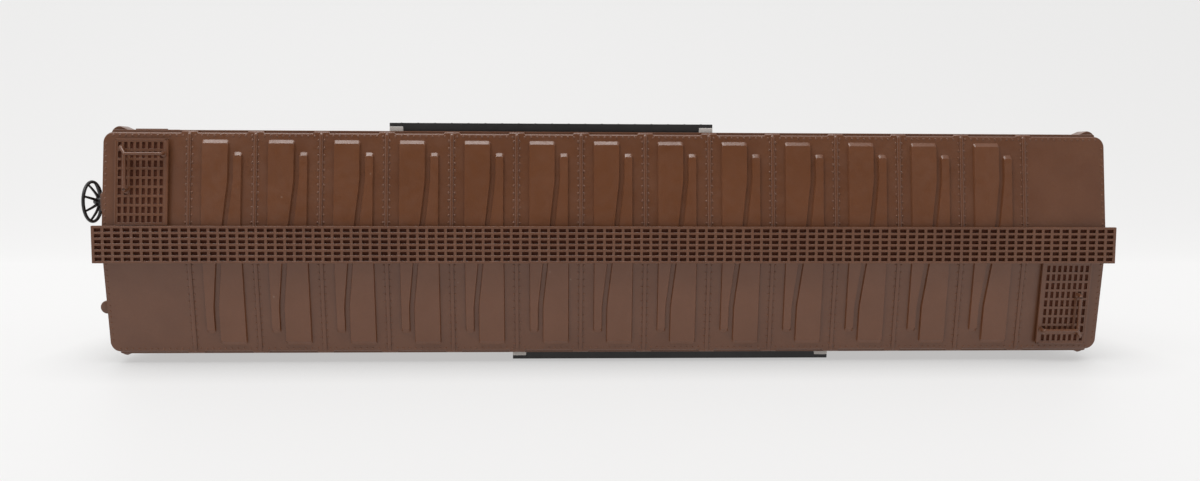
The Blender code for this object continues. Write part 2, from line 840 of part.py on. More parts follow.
def knuckle():
    """The hook that turns on its pin, with the pin on the origin."""
    tail = cylinder(0.92, -0.5, 0.5)
    arm = prism([(0, -0.7), (1.6, -0.5), (1.6, 0.8), (0, 0.9)], 2, -0.5, 0.5)
    outline = [
        (1.25, 0.9),
        (1.3, -0.4),
        (1.35, -1.9),
        (2.0, -2.3),
        (2.6, -1.7),
        (2.75, -0.4),
        (2.3, 0.7),
        (1.7, 1.1),
    ]
    hook = prism(outline, 2, -1.6, 1.6)
    return cut(joined(tail, arm, hook), cylinder(0.45, -2, 2, 12))


def trip_pin():
    """The bent wire under the head, which a magnet between the rails pulls on."""
    x, y = 8.6, -1.9
    path = [(x, y, -1.66), (x, y, -6.2)]
    for step in range(1, 6):
        angle = step / 5 * math.radians(75)
        path.append((x + 1.8 * (1 - math.cos(angle)), y, -6.2 - 1.8 * math.sin(angle)))
    return rod(path, 0.28)


def centring_spring():
    """The flat bronze spring under the shank, round the pivot post."""
    plate = prism([(-1.9, -1.2), (3.6, -1.2), (4.6, -0.5), (4.6, 0.5), (3.6, 1.2), (-1.9, 1.2)], 2, -1.1, -0.95)
    return cut(plate, cylinder(1.15, -2, 2, 16))


# Assembly


def clear_scene():
    for obj in list(bpy.data.objects):
        bpy.data.objects.remove(obj)


def build_body(brown, black):
    add("body_shell", body_shell(), brown)
    add("running_board", running_board(), brown)
    platform, grab = roof_platform(), roof_grab()
    add("roof_platform_b", platform, brown)
    add("roof_platform_a", half_turned(platform), brown)
    add("roof_grab_b", grab, brown, smooth=True)
    add("roof_grab_a", half_turned(grab), brown, smooth=True)
    upper, lower = upper_track(), lower_track()
    add("upper_door_track_left", upper, black)
    add("upper_door_track_right", half_turned(upper), black)
    add("lower_door_track_left", lower, black)
    add("lower_door_track_right", half_turned(lower), black)
    beside, across = side_ladder(), end_ladder()
    add("side_ladder_left", beside, brown)
    add("side_ladder_right", half_turned(beside), brown)
    add("end_ladder_b", across, brown)
    add("end_ladder_a", half_turned(across), brown)
    step = sill_step()
    for name, x, turn in (
        ("sill_step_left_b", -67.6, 0),
        ("sill_step_left_a", 67.6, 0),
        ("sill_step_right_b", 67.6, HALF_TURN),
        ("sill_step_right_a", -67.6, HALF_TURN),
    ):
        strap = moved(step, x)
        add(name, moved(strap, turn=turn), brown)


def build_doors(brown):
    left = pivot("door_left_place", 0, 0, 0)
    right = pivot("door_right_place", 0, 0, 0, HALF_TURN)
    shape = door()
    add("door_left", shape, brown, left)
    add("door_right", shape, brown, right)


def build_brake_gear(brown, black):
    add("brake_housing", brake_housing(), brown)
    add("brake_rod", brake_rod(), brown)
    add("brake_step", brake_step(), brown)
    add("retainer_valve", retainer_valve(), brown, smooth=True)
    hub = pivot("brake_wheel_axis", BRAKE_HUB_X, BRAKE_Y, BRAKE_Z)
    add("brake_wheel", brake_wheel(), black, hub, smooth=True)


def build_underframe(black, steel):
    add("underframe", underframe(), black)
    add("weight_plate", weight_plate(), steel)
    add("brake_cylinder", brake_cylinder(), black, smooth=True)
    add("air_reservoir", air_reservoir(), black, smooth=True)
    add("control_valve", control_valve(), black, smooth=True)
    add("brake_rigging", brake_rigging(), black)
    cover, screw, king = coupler_cover(), coupler_screw(), kingpin_screw()
    for end, turn, sign in (("a", 0.0, 1), ("b", HALF_TURN, -1)):
        add(f"coupler_cover_{end}", moved(cover, turn=turn), black)
        add(f"coupler_screw_{end}", moved(screw, sign * 63.45), steel, smooth=True)
        add(f"kingpin_screw_{end}", moved(king, sign * TRUCK_CENTRE), steel, smooth=True)


def build_trucks(black, steel):
    frame, spindle, disc_wheel = truck_frame(), axle(), wheel()
    far_wheel = half_turned(disc_wheel)
    for end, x in (("a", TRUCK_CENTRE), ("b", -TRUCK_CENTRE)):
        centre = pivot(f"truck_{end}_axis", x, 0, 0)
        add(f"truck_frame_{end}", frame, black, centre)
        for number, along in ((1, AXLE_X), (2, -AXLE_X)):
            outward = along if end == "a" else -along
            spin = pivot(f"axle_{end}{number}_axis", outward, 0, AXLE_Z, parent=centre)
            add(f"axle_{end}{number}", spindle, steel, spin, smooth=True)
            add(f"wheel_{end}{number}_left", disc_wheel, black, spin, smooth=True)
            add(f"wheel_{end}{number}_right", far_wheel, black, spin, smooth=True)


def build_couplers(black, steel, bronze):
    head, hook, wire, spring = coupler(), knuckle(), trip_pin(), centring_spring()
    for end, x, turn in (("a", COUPLER_X, 0.0), ("b", -COUPLER_X, HALF_TURN)):
        swing = pivot(f"coupler_{end}_axis", x, 0, COUPLER_Z, turn)
        add(f"coupler_{end}", head, black, swing)
        add(f"trip_pin_{end}", wire, steel, swing, smooth=True)
        add(f"centring_spring_{end}", spring, bronze, swing)
        pin = pivot(f"knuckle_{end}_axis", *KNUCKLE_PIN, 0, parent=swing)
        add(f"knuckle_{end}", hook, black, pin)


def main():
    clear_scene()
    brown = material("moulded_brown", (0.125, 0.052, 0.028), 0.42)
    black = material("moulded_black", (0.018, 0.018, 0.02), 0.45)
    steel = material("bright_steel", (0.5, 0.5, 0.5), 0.35, 1.0)
    bronze = material("phosphor_bronze", (0.55, 0.3, 0.12), 0.35, 1.0)
    build_body(brown, black)
    build_doors(brown)
    build_brake_gear(brown, black)
    build_underframe(black, steel)
    build_trucks(black, steel)
    build_couplers(black, steel, bronze)


main()
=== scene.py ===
# %% [markdown]
# # A model box car, seen from above
#
# The real thing is a 40 ft steel box car in 1:87, moulded in red-brown plastic with black door
# tracks and running gear.
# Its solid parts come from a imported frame, which this lesson loads first and never moves.
# Each visible piece is then worked out as an array of points, because a roof, a grating or a
# wheel is a short formula repeated many times, and numpy writes such a formula down directly.

# %% Load the frame
import math

import bmesh
import bpy
import numpy as np
from mathutils import Matrix, Vector


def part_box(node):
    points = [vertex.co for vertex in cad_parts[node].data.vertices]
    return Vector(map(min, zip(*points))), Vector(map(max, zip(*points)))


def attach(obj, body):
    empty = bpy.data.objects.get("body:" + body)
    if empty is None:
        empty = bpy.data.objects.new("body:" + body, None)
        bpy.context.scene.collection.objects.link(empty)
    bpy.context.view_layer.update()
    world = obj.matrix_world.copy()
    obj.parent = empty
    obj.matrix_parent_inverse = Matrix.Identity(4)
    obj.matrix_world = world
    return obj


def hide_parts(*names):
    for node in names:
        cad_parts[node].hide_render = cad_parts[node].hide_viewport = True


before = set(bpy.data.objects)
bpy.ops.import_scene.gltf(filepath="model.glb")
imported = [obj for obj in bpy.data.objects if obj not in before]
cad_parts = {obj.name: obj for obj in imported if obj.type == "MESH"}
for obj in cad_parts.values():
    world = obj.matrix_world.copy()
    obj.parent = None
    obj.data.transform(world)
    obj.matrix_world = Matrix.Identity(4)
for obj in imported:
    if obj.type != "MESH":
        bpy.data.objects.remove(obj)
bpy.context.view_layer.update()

MM = 0.001

# %% [markdown]
# ## Sizes
#
# Everything below is in millimetres on the model.
# Heights and lengths are read off the frame's boxes, so a change there moves the looks with it.
# Only sizes that the boxes can't tell, such as the pitch of the roof seams, are written out.


# %% Read the frame's sizes
def box_mm(node):
    """Lowest and highest corner of a CAD node, in millimetres."""
    low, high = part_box(node)
    return np.array(low) / MM, np.array(high) / MM


board_low, board_high = box_mm("running_board")
shell_low, shell_high = box_mm("body_shell")
platform_low, platform_high = box_mm("roof_platform_b")
SEAM_HEIGHT = 0.2
RIDGE_Z = board_high[2] - 1.0
EDGE_Z = RIDGE_Z - 2.0
ROOF_EDGE = 15.95
ROOF_END = 73.0
CORNER = 1.3
SEAM_COUNT = 14
SEAM_PITCH = 9.365
SIDE_Y = 15.75
END_X = 72.7
SILL_Z = shell_low[2]
seams = (np.arange(SEAM_COUNT) - (SEAM_COUNT - 1) / 2) * SEAM_PITCH
print("ridge at", round(RIDGE_Z, 2), "mm, board", np.round(board_high - board_low, 2), "mm")


def roof_z(y):
    """Height of the roof sheet: it falls evenly from the ridge to both edges."""
    return RIDGE_Z - (RIDGE_Z - EDGE_Z) / ROOF_EDGE * np.abs(y)


# %% [markdown]
# ## Shapes as arrays
#
# A shape here is a pair: an array of points, and a list of face arrays that count into it.
# Blender's own primitives would do for one box, but a car has thousands of small features.
# With arrays, a rivet is made once and copied by adding an array of places to it.


# %% Join and move shapes
def merged(*shapes):
    """Several shapes as one: points are stacked, and each face counts on from those before it."""
    points, faces, base = [], [], 0
    for some_points, some_faces in shapes:
        points.append(some_points)
        faces += [face + base for face in some_faces]
        base += len(some_points)
    return np.vstack(points), faces


def moved(shape, x=0.0, y=0.0, z=0.0):
    """Every point shifted by the same vector."""
    return shape[0] + np.array([x, y, z]), shape[1]


def turned(shape, axis, degrees):
    """Every point multiplied by the matrix of a turn about an axis through the origin."""
    matrix = np.array(Matrix.Rotation(math.radians(degrees), 3, axis))
    return shape[0] @ matrix.T, shape[1]


def copies(shape, places, matrices=None):
    """The shape once at every place: point = place + matrix times point, for all at once."""
    points, faces = shape
    places = np.asarray(places, float)
    if matrices is None:
        spread = places[:, None, :] + points[None]
    else:
        spread = places[:, None, :] + np.einsum("kij,nj->kni", matrices, points)
    shift = (np.arange(len(places)) * len(points))[:, None, None]
    return spread.reshape(-1, 3), [(f[None] + shift).reshape(-1, f.shape[1]) for f in faces]


def both_corners(shape):
    """The shape and its copy half a turn round Z, at the opposite corner of the car."""
    return merged(shape, turned(shape, "Z", 180))


def skin(loops, capped=True, round_trip=False):
    """Quads between neighbouring loops of a (loops, points, 3) array, and a cap on both ends."""
    count, size, _ = loops.shape
    index = np.arange(count * size).reshape(count, size)
    start, end = (index, np.roll(index, -1, 0)) if round_trip else (index[:-1], index[1:])
    quads = np.stack([start, np.roll(start, -1, 1), np.roll(end, -1, 1), end], -1)
    faces = [quads.reshape(-1, 4)]
    if capped and not round_trip:
        faces += [index[0][::-1][None], index[-1][None]]
    return loops.reshape(-1, 3), faces


# %% [markdown]
# Most moulded parts are flat outlines with thickness and a small round on every edge.
# An outline gets its round corners from a curve that starts on one side, is pulled towards the
# corner and ends on the other side.
# The slab then climbs from an inset outline to the full one and back, so no edge is knife sharp.


# %% Outlines and slabs
def rounded(corners, radius, steps=4):
    """Outline with round corners: each corner C becomes (1-t)^2 A + 2t(1-t) C + t^2 B,
    where A and B lie on its two sides, a radius away from it."""
    corners = np.asarray(corners, float)
    radius = np.broadcast_to(np.asarray(radius, float), len(corners))[:, None]
    before, after = np.roll(corners, 1, 0) - corners, np.roll(corners, -1, 0) - corners
    reach_a, reach_b = np.linalg.norm(before, axis=1), np.linalg.norm(after, axis=1)
    a = corners + before / reach_a[:, None] * np.minimum(radius, reach_a[:, None] * 0.49)
    b = corners + after / reach_b[:, None] * np.minimum(radius, reach_b[:, None] * 0.49)
    t = np.linspace(0, 1, steps)[None, :, None]
    curve = (1 - t) ** 2 * a[:, None] + 2 * t * (1 - t) * corners[:, None] + t**2 * b[:, None]
    return curve.reshape(-1, 2)


def inset(outline, distance):
    """Each point moves inwards along the sum of its two sides' normals."""
    ahead = np.roll(outline, -1, 0) - outline
    ahead = ahead / np.maximum(np.linalg.norm(ahead, axis=1), 1e-9)[:, None]
    area = np.sum(outline[:, 0] * np.roll(outline[:, 1], -1) - np.roll(outline[:, 0], -1) * outline[:, 1])
    normal = np.stack([-ahead[:, 1], ahead[:, 0]], 1) * np.sign(area)
    back = np.roll(normal, 1, 0)
    share = 1 / np.maximum(1 + np.sum(normal * back, 1), 0.35)
    return outline + distance * (normal + back) * share[:, None]


ACROSS = {"X": (1, 2, 0), "Y": (0, 2, 1), "Z": (0, 1, 2)}


def slab(outline, low, high, edge=0.05, axis="Z"):
    """A thick outline. Its edge is a quarter round in two steps: inset e(1 - sin a), rise e(1 - cos a)."""
    edge = min(edge, (high - low) * 0.45)
    angles = np.radians([0, 45, 90])
    insets, rises = edge * (1 - np.sin(angles)), edge * (1 - np.cos(angles))
    levels = np.concatenate([low + rises, high - rises[::-1]])
    insets = np.concatenate([insets, insets[::-1]])
    loops = np.zeros((len(levels), len(outline), 3))
    first, second, third = ACROSS[axis]
    for number, (level, distance) in enumerate(zip(levels, insets)):
        ring = inset(outline, distance)
        loops[number, :, first] = ring[:, 0]
        loops[number, :, second] = ring[:, 1]
        loops[number, :, third] = level
    return skin(loops)


def block(x, y, z, edge=0.05, corner=0.05, axis="Z"):
    """A box between pairs of low and high values, with small rounds on all its edges."""
    spans = {"X": x, "Y": y, "Z": z}
    low, high = spans.pop(axis)
    (a0, a1), (b0, b1) = spans.values()
    corners = [(a0, b0), (a1, b0), (a1, b1), (a0, b1)]
    return slab(rounded(corners, corner, 3), low, high, edge, axis)


# %% [markdown]
# Bars, wires and pipes are a circle carried along a path, and wheels are a profile carried round
# an axis. Both are the same idea: a small loop of points, placed many times, with skin between.


# %% Tubes and turned shapes
def tube(path, radius, sides=10):
    """A circle carried along a path. At each point its plane halves the bend of the path."""
    path = np.asarray(path, float)
    ahead = np.diff(path, axis=0)
    ahead /= np.linalg.norm(ahead, axis=1)[:, None]
    along = np.vstack([ahead[:1], ahead[:-1] + ahead[1:], ahead[-1:]])
    along /= np.linalg.norm(along, axis=1)[:, None]
    guide = np.eye(3)[np.argmin(np.abs(ahead).max(0))]
    side = np.cross(along, guide)
    side /= np.linalg.norm(side, axis=1)[:, None]
    up = np.cross(side, along)
    angle = np.linspace(0, 2 * np.pi, sides, endpoint=False)
    ring = np.cos(angle)[None, :, None] * side[:, None] + np.sin(angle)[None, :, None] * up[:, None]
    radius = np.broadcast_to(np.asarray(radius, float), len(path))
    return skin(path[:, None] + radius[:, None, None] * ring)


def bend(corners, radius, steps=4):
    """A path with its inner corners rounded, by the same pulled curve as an outline's."""
    corners = np.asarray(corners, float)
    parts = [corners[:1]]
    for before, corner, after in zip(corners[:-2], corners[1:-1], corners[2:]):
        a = corner + (before - corner) / np.linalg.norm(before - corner) * radius
        b = corner + (after - corner) / np.linalg.norm(after - corner) * radius
        t = np.linspace(0, 1, steps)[:, None]
        parts.append((1 - t) ** 2 * a + 2 * t * (1 - t) * corner + t**2 * b)
    return np.vstack(parts + [corners[-1:]])


def lathe(profile, steps=32, axis="Z", closed=False):
    """A profile of (radius, height) carried round an axis: (r cos a, r sin a, h) for all a."""
    profile = np.asarray(profile, float)
    angle = np.linspace(0, 2 * np.pi, steps, endpoint=False)
    radius, height = profile[:, 0][:, None], profile[:, 1][:, None]
    loops = np.stack([radius * np.cos(angle), radius * np.sin(angle), height + 0 * angle], -1)
    shape = skin(loops, capped=not closed, round_trip=closed)
    return turned(shape, *{"Z": ("Z", 0), "Y": ("X", -90), "X": ("Y", 90)}[axis])


def dome(radius, height, sides=8):
    """A rivet head: two rings and a small flat top, lying on the XY plane."""
    foot = [(radius, -0.06), (radius, 0.25 * height)]
    return lathe(foot + [(0.72 * radius, 0.78 * height), (0.3 * radius, height)], sides)


# %% [markdown]
# ## Putting a shape in the scene
#
# The arrays go into a Blender mesh in one call each, which is far quicker than a face at a time.
# Points that coincide are merged, which closes poles and seams, and the faces are then turned
# outwards. A weighted-normal modifier keeps flat faces flat beside their small rounds.


# %% Make a piece
def put_mesh(name, shape):
    """Fills a mesh from arrays: points, then every face's corners end to end."""
    points, faces = shape
    sizes = np.concatenate([np.full(len(f), f.shape[1]) for f in faces])
    corners = np.concatenate([f.ravel() for f in faces])
    mesh = bpy.data.meshes.new(name)
    mesh.vertices.add(len(points))
    mesh.vertices.foreach_set("co", (points * MM).ravel())
    mesh.loops.add(len(corners))
    mesh.loops.foreach_set("vertex_index", corners.astype(np.int32))
    mesh.polygons.add(len(sizes))
    mesh.polygons.foreach_set("loop_start", (np.cumsum(sizes) - sizes).astype(np.int32))
    mesh.update(calc_edges=True)
    mesh.validate()
    clean = bmesh.new()
    clean.from_mesh(mesh)
    bmesh.ops.remove_doubles(clean, verts=clean.verts, dist=2e-6)
    bmesh.ops.recalc_face_normals(clean, faces=clean.faces)
    clean.to_mesh(mesh)
    clean.free()
    return mesh


def piece(name, shape, finish, body="car_body", stands_for=(), angle=38, soft=0.0):
    """A named piece in its finish, riding on a body and standing for the nodes it replaces."""
    mesh = shape if isinstance(shape, bpy.types.Mesh) else put_mesh(name, shape)
    mesh.shade_smooth()
    mesh.set_sharp_from_angle(angle=math.radians(angle))
    mesh.materials.clear()
    mesh.materials.append(finish)
    made = bpy.data.objects.new(name, mesh)
    bpy.context.scene.collection.objects.link(made)
    if soft:
        round_edge = made.modifiers.new("soft edges", "BEVEL")
        round_edge.width, round_edge.segments = soft * MM, 2
        round_edge.limit_method, round_edge.angle_limit = "ANGLE", math.radians(32)
    even = made.modifiers.new("flat faces stay flat", "WEIGHTED_NORMAL")
    even.keep_sharp = True
    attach(made, body)
    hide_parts(*stands_for)
    print(name, len(mesh.vertices), "points", len(mesh.polygons), "faces")
    return made


# %% [markdown]
# ## Finishes
#
# Moulded plastic is never one flat colour. The pigment is slightly uneven, the skin has a fine
# grain that widens its gloss, and dust and handling leave paler specks.
# Each finish mixes noise at several sizes into colour, roughness and bump.
# All of it is read from Object coordinates, so the pattern stays on the part as it moves.


# %% Node helpers
class Nodes:
    """A short way to write a material's node tree: add a node, set its values, link its inputs."""

    def __init__(self, tree):
        self.tree = tree

    def add(self, kind, values=(), **links):
        node = self.tree.nodes.new(kind)
        for name, value in dict(values).items():
            if name in node.inputs:
                node.inputs[name].default_value = value
            else:
                setattr(node, name, value)
        for name, source in links.items():
            self.tree.links.new(source, node.inputs[name.replace("_", " ")])
        return node

    def noise(self, where, scale, detail=3.0, roughness=0.55):
        values = {"Scale": scale, "Detail": detail, "Roughness": roughness}
        return self.add("ShaderNodeTexNoise", values, Vector=where).outputs["Fac"]

    def ramp(self, source, low, high, dark, light):
        """Source from low to high becomes a number from dark to light."""
        node = self.tree.nodes.new("ShaderNodeMapRange")
        for name, value in (("From Min", low), ("From Max", high), ("To Min", dark), ("To Max", light)):
            node.inputs[name].default_value = value
        self.tree.links.new(source, node.inputs["Value"])
        return node.outputs["Result"]

    def mix(self, share, first, second):
        """Colour from first to second by a share from 0 to 1. Either may be a colour or a socket."""
        node = self.tree.nodes.new("ShaderNodeMix")
        node.data_type = "RGBA"
        self.tree.links.new(share, node.inputs["Factor"])
        for value, socket in ((first, node.inputs[6]), (second, node.inputs[7])):
            if isinstance(value, tuple):
                socket.default_value = (*value, 1.0)
            else:
                self.tree.links.new(value, socket)
        return node.outputs[2]


def finish_of(
    name, colour, paler, roughness, metallic=0.0, grain=0.04, dust=0.0, spread=0.06, specular=0.5
):
    """Colour drifts between two tones, roughness varies by spread, and a fine grain gives bump."""
    made = bpy.data.materials.new(name)
    made.use_nodes = True
    n = Nodes(made.node_tree)
    shader = made.node_tree.nodes["Principled BSDF"]
    shader.inputs["Metallic"].default_value = metallic
    shader.inputs["Specular IOR Level"].default_value = specular
    where = n.add("ShaderNodeTexCoord").outputs["Object"]
    drift = n.noise(where, 160.0, 4.0)
    fine = n.noise(where, 2600.0, 2.0)
    tone = n.mix(n.ramp(drift, 0.35, 0.65, 0.0, 1.0), colour, paler)
    mottle = n.mix(n.ramp(fine, 0.3, 0.7, 0.0, 0.22), tone, tuple(0.72 * c for c in colour))
    if dust:
        cells = n.add("ShaderNodeTexVoronoi", {"Scale": 260.0, "Randomness": 1.0}, Vector=where)
        speck = n.ramp(cells.outputs["Distance"], 0.02, 0.05, 1.0, 0.0)
        patch = n.ramp(n.noise(where, 90.0), 0.5, 0.62, 0.0, dust)
        both = n.add("ShaderNodeMath", {"operation": "MULTIPLY"})
        n.tree.links.new(speck, both.inputs[0])
        n.tree.links.new(patch, both.inputs[1])
        mottle = n.mix(both.outputs[0], mottle, (0.42, 0.34, 0.28))
    n.tree.links.new(mottle, shader.inputs["Base Color"])
    rough = n.ramp(n.noise(where, 700.0, 4.0), 0.3, 0.7, roughness - spread, roughness + spread)
    n.tree.links.new(rough, shader.inputs["Roughness"])
    skin_grain = n.noise(where, 5200.0, 2.0)
    bump = n.add("ShaderNodeBump", {"Strength": grain, "Distance": 0.00004}, Height=skin_grain)
    n.tree.links.new(bump.outputs["Normal"], shader.inputs["Normal"])
    return made


# %% The car's finishes
brown = finish_of(
    "brown_plastic", (0.112, 0.040, 0.0165), (0.128, 0.048, 0.021), 0.36, grain=0.10, dust=0.5
)
# Painted highlight: a lighter, redder brown for the stamped tops and rivet heads, standing in for the light
# they catch. It also carries dust specks.
raised = finish_of(
    "brown_plastic_painted_highlight", (0.124, 0.0435, 0.0165), (0.138, 0.050, 0.0205), 0.34,
    grain=0.08, dust=0.3,
)
# Painted shade: a darker, duller brown for the plates behind the slots, standing in for the shade down in
# the slots.
painted_shade_brown = finish_of(
    "brown_plastic_painted_shade", (0.072, 0.021, 0.010), (0.084, 0.026, 0.013), 0.75, specular=0.15
)
black = finish_of(
    "black_plastic", (0.010, 0.009, 0.009), (0.017, 0.015, 0.015), 0.44, grain=0.12, dust=0.15
)
wheel_metal = finish_of(
    "blackened_metal", (0.055, 0.050, 0.046), (0.085, 0.076, 0.068), 0.40, 0.9, grain=0.06
)
tread_metal = finish_of(
    "bright_tread", (0.46, 0.45, 0.43), (0.55, 0.54, 0.52), 0.26, 1.0, grain=0.03
)
steel = finish_of("plated_steel", (0.42, 0.42, 0.41), (0.52, 0.51, 0.49), 0.33, 1.0)
bronze = finish_of(
    "bronze_strip", (0.50, 0.27, 0.11), (0.60, 0.35, 0.16), 0.32, 1.0, grain=0.03
)
pale = finish_of(
    "pale_grey_plastic", (0.50, 0.47, 0.44), (0.58, 0.55, 0.52), 0.50, grain=0.08
)

# %% [markdown]
# ## Roof sheet
#
# The roof is a shallow tent whose long edges are scalloped: a small tab sticks out under every
# seam. One cross-section is carried along the car. Its half width swells at the tabs and shrinks
# round the four corners, and the ridge and eaves keep a small round of their own.


# %% Roof sheet
def half_width(x):
    """The edge at x: a tab is a smooth bump beside each seam, and a corner is a quarter circle."""
    near = np.abs(x[:, None] - seams[None]).min(1)
    tab = 0.25 * np.clip((1.22 - near) / 0.16, 0, 1)
    past = np.clip(np.abs(x) - (ROOF_END - CORNER), 0, CORNER)
    return ROOF_EDGE + tab - CORNER + np.sqrt(CORNER**2 - past**2)


def roof_sheet():
    """Loops of (y, z) along X. Each y is a share of the half width, less a fixed round at the edge."""
    corner = ROOF_END - CORNER + CORNER * np.sin(np.linspace(0, 0.5 * np.pi, 8)[:-1])
    x = np.concatenate([-corner, (seams[:, None] + np.array([-1.23, -1.06, 1.06, 1.23])).ravel(), corner])
    x = np.unique(np.concatenate([x, [-ROOF_END + 0.012, ROOF_END - 0.012]]))
    wide = half_width(x)[:, None]
    rounding = np.array([0.0, 0.05, 0.14, 0.3])
    drop = np.array([0.3, 0.14, 0.05, 0.0])
    right_y = np.concatenate([wide - 0.35 + 0 * wide, wide - rounding], 1)
    right_z = np.concatenate([0 * wide + 49.15, roof_z(right_y[:, 1:]) - drop], 1)
    ridge_y = np.broadcast_to(np.array([0.35, 0.12]), (len(x), 2))
    y = np.concatenate([right_y, ridge_y, -ridge_y[:, ::-1], -right_y[:, ::-1]], 1)
    near_ridge = roof_z(ridge_y) - [0, 0.006]
    z = np.concatenate([right_z, near_ridge, near_ridge[:, ::-1], right_z[:, ::-1]], 1)
    loops = np.stack([np.broadcast_to(x[:, None], y.shape), y, z], -1)
    return skin(loops)


def flange_path(half):
    """(y, z) and outward normal of a strip that crosses the roof and folds down over both edges."""
    y = np.array([half + 0.02, half, half - 0.12, half - 0.35, half - 0.9, 0.5, 0.12])
    lean = np.radians([90, 80, 45, 15, 8.6, 8.6, 4.0])
    z = np.array([49.3, 49.62, 0, 0, 0, 0, 0])
    z[2:] = roof_z(y[2:]) - np.array([0.08, 0.02, 0, 0, 0.004])
    y, z, lean = np.r_[y, -y[::-1]], np.r_[z, z[::-1]], np.r_[lean, -lean[::-1]]
    return np.stack([y, z], 1), np.stack([np.sin(lean), np.cos(lean)], 1)


def seam_caps():
    """A low rounded strip carried along the flange path, once at every seam."""
    section = np.array([(-0.28, -0.12), (-0.27, 0.10), (-0.20, 0.17), (-0.10, SEAM_HEIGHT)])
    section = np.vstack([section, section[::-1] * [-1, 1]])
    path, normal = flange_path(ROOF_EDGE - 0.06)
    loops = np.zeros((len(path), len(section), 3))
    loops[:, :, 0] = section[None, :, 0]
    loops[:, :, 1:] = path[:, None] + normal[:, None] * section[None, :, 1:]
    return copies(skin(loops), np.stack([seams, 0 * seams, 0 * seams], 1))


# %% [markdown]
# Between two seams the sheet has a wide and a narrow stamping, whose sides slant past each
# other. Each is a soft pillow: an outline on the sheet, a smaller one on top, and an even climb
# between them with a short curve at both ends. It is steep along the sides, long at the eave.


# %% Stampings
def pillow(low_outline, high_outline, height, surface):
    """Loops from the low outline to the high one. The slope is even, with a short curve at both ends."""
    t = np.array([0.0, 0.1, 0.22, 0.78, 0.9, 1.0])
    plan = low_outline[None] + t[:, None, None] * (high_outline - low_outline)[None]
    rise = height(plan[..., 1]) * np.array([0.0, 0.05, 0.18, 0.84, 0.96, 1.0])[:, None]
    plan = np.concatenate([plan[:1], plan])
    rise = np.concatenate([0 * rise[:1] - 0.15, rise])
    z = surface(plan[..., 1]) + rise
    return skin(np.concatenate([plan, z[..., None]], -1))


def stamping_height(y):
    """A stamping is deeper towards the eave, so its top is a little less steep than the sheet."""
    return 0.24 + 0.14 * np.abs(y) / ROOF_EDGE


def stampings():
    """The two pillows of one sheet on the right half, copied to all sheets and turned half round."""
    narrow = [(1.85, 13.2), (3.15, 13.2), (3.15, 9.3), (4.0, 1.5), (1.85, 1.5)]
    narrow_top = [(1.95, 12.6), (3.05, 12.6), (3.05, 9.28), (3.9, 1.6), (1.95, 1.6)]
    wide = [(3.75, 14.95), (7.6, 14.95), (7.6, 1.5), (4.6, 1.5), (3.75, 9.3)]
    wide_top = [(3.87, 14.35), (7.48, 14.35), (7.48, 1.6), (4.72, 1.6), (3.87, 9.32)]
    shapes = []
    for low, high, radii in (
        (narrow, narrow_top, (0.45, 0.45, 0.8, 0.2, 0.2)),
        (wide, wide_top, (0.5, 0.35, 0.2, 0.2, 0.8)),
    ):
        flip = np.array([1, -1])
        low_ring, high_ring = rounded(low, radii, 6) * flip, rounded(high, np.array(radii) * 0.7, 6) * flip
        shapes.append(pillow(low_ring, high_ring, stamping_height, roof_z))
    places = np.stack([seams[:-1], 0 * seams[:-1], 0 * seams[:-1]], 1)
    return both_corners(copies(merged(*shapes), places))


# %% [markdown]
# Rivet heads run beside each seam, along both eaves and across both ends. A real head is a
# dome, and at this size eight sides are plenty. Each one leans with the roof.


# %% Rivets
def on_roof(x, y):
    """Places on the sheet, and matrices that lean a shape with the slope it stands on."""
    x, y = np.asarray(x, float).ravel(), np.asarray(y, float).ravel()
    slope = np.arctan((RIDGE_Z - EDGE_Z) / ROOF_EDGE) * np.sign(y)
    zero, one = 0 * x, 0 * x + 1
    rows = [one, zero, zero, zero, np.cos(slope), np.sin(slope), zero, -np.sin(slope), np.cos(slope)]
    return np.stack([x, y, roof_z(y)], 1), np.stack(rows, 1).reshape(-1, 3, 3)


def roof_rivets():
    """Rows at an even pitch. Those beside a seam stand on the side that the half turn gives them."""
    head = dome(0.17, 0.07)
    across = np.arange(3.1, 15.2, 1.07)
    rows = [np.meshgrid(np.r_[seams - 0.42, seams + 0.42], across)]
    along = np.arange(-71.6, 71.7, 0.89)
    clear = np.abs(along[:, None] - seams[None]).min(1) > 0.5
    along = along[clear]
    rows.append((along, 0 * along + 15.5))
    ends = np.arange(3.0, 14.6, 0.86)
    rows.append((0 * ends + 72.62, ends))
    rows.append((0 * ends - 72.62, ends))
    shapes = [copies(head, *on_roof(x, y)) for x, y in rows]
    return both_corners(merged(*shapes))


piece("roof_sheet", roof_sheet(), brown, stands_for=["body_shell"])
piece("roof_seam_caps", seam_caps(), brown)
# The stampings and rivets are in the painted-highlight brown.
piece("roof_stampings", stampings(), raised)
piece("roof_rivets", roof_rivets(), raised)

# %% [markdown]
# ## Running board and platforms
#
# The walks on the roof are steel gratings: long bars, and short bars across them that leave rows
# of slots. They could be a plate with holes cut in it, but crossed bars give the same slots with
# clean edges and no cutting. The cross bars sit a little lower than the long ones, and a plate
# closes the slots from behind. That plate is a darker brown, as painted shade for the deep slots.


# %% Gratings
def bars(length, width, top, bottom, places, along="X", edge=0.02):
    """One bar with rounded top edges, copied to every place across its length."""
    half = width / 2
    foot = [(-half, bottom), (half, bottom), (half, top - edge)]
    section = np.array(foot + [(half - edge, top), (edge - half, top), (-half, top - edge)])
    loops = np.zeros((2, len(section), 3))
    run, cross = (0, 1) if along == "X" else (1, 0)
    loops[:, :, cross] = section[None, :, 0]
    loops[:, :, 2] = section[None, :, 1]
    loops[:, :, run] = np.array(length)[:, None]
    shift = np.zeros((len(places), 3))
    shift[:, cross] = places
    return copies(skin(loops), shift)


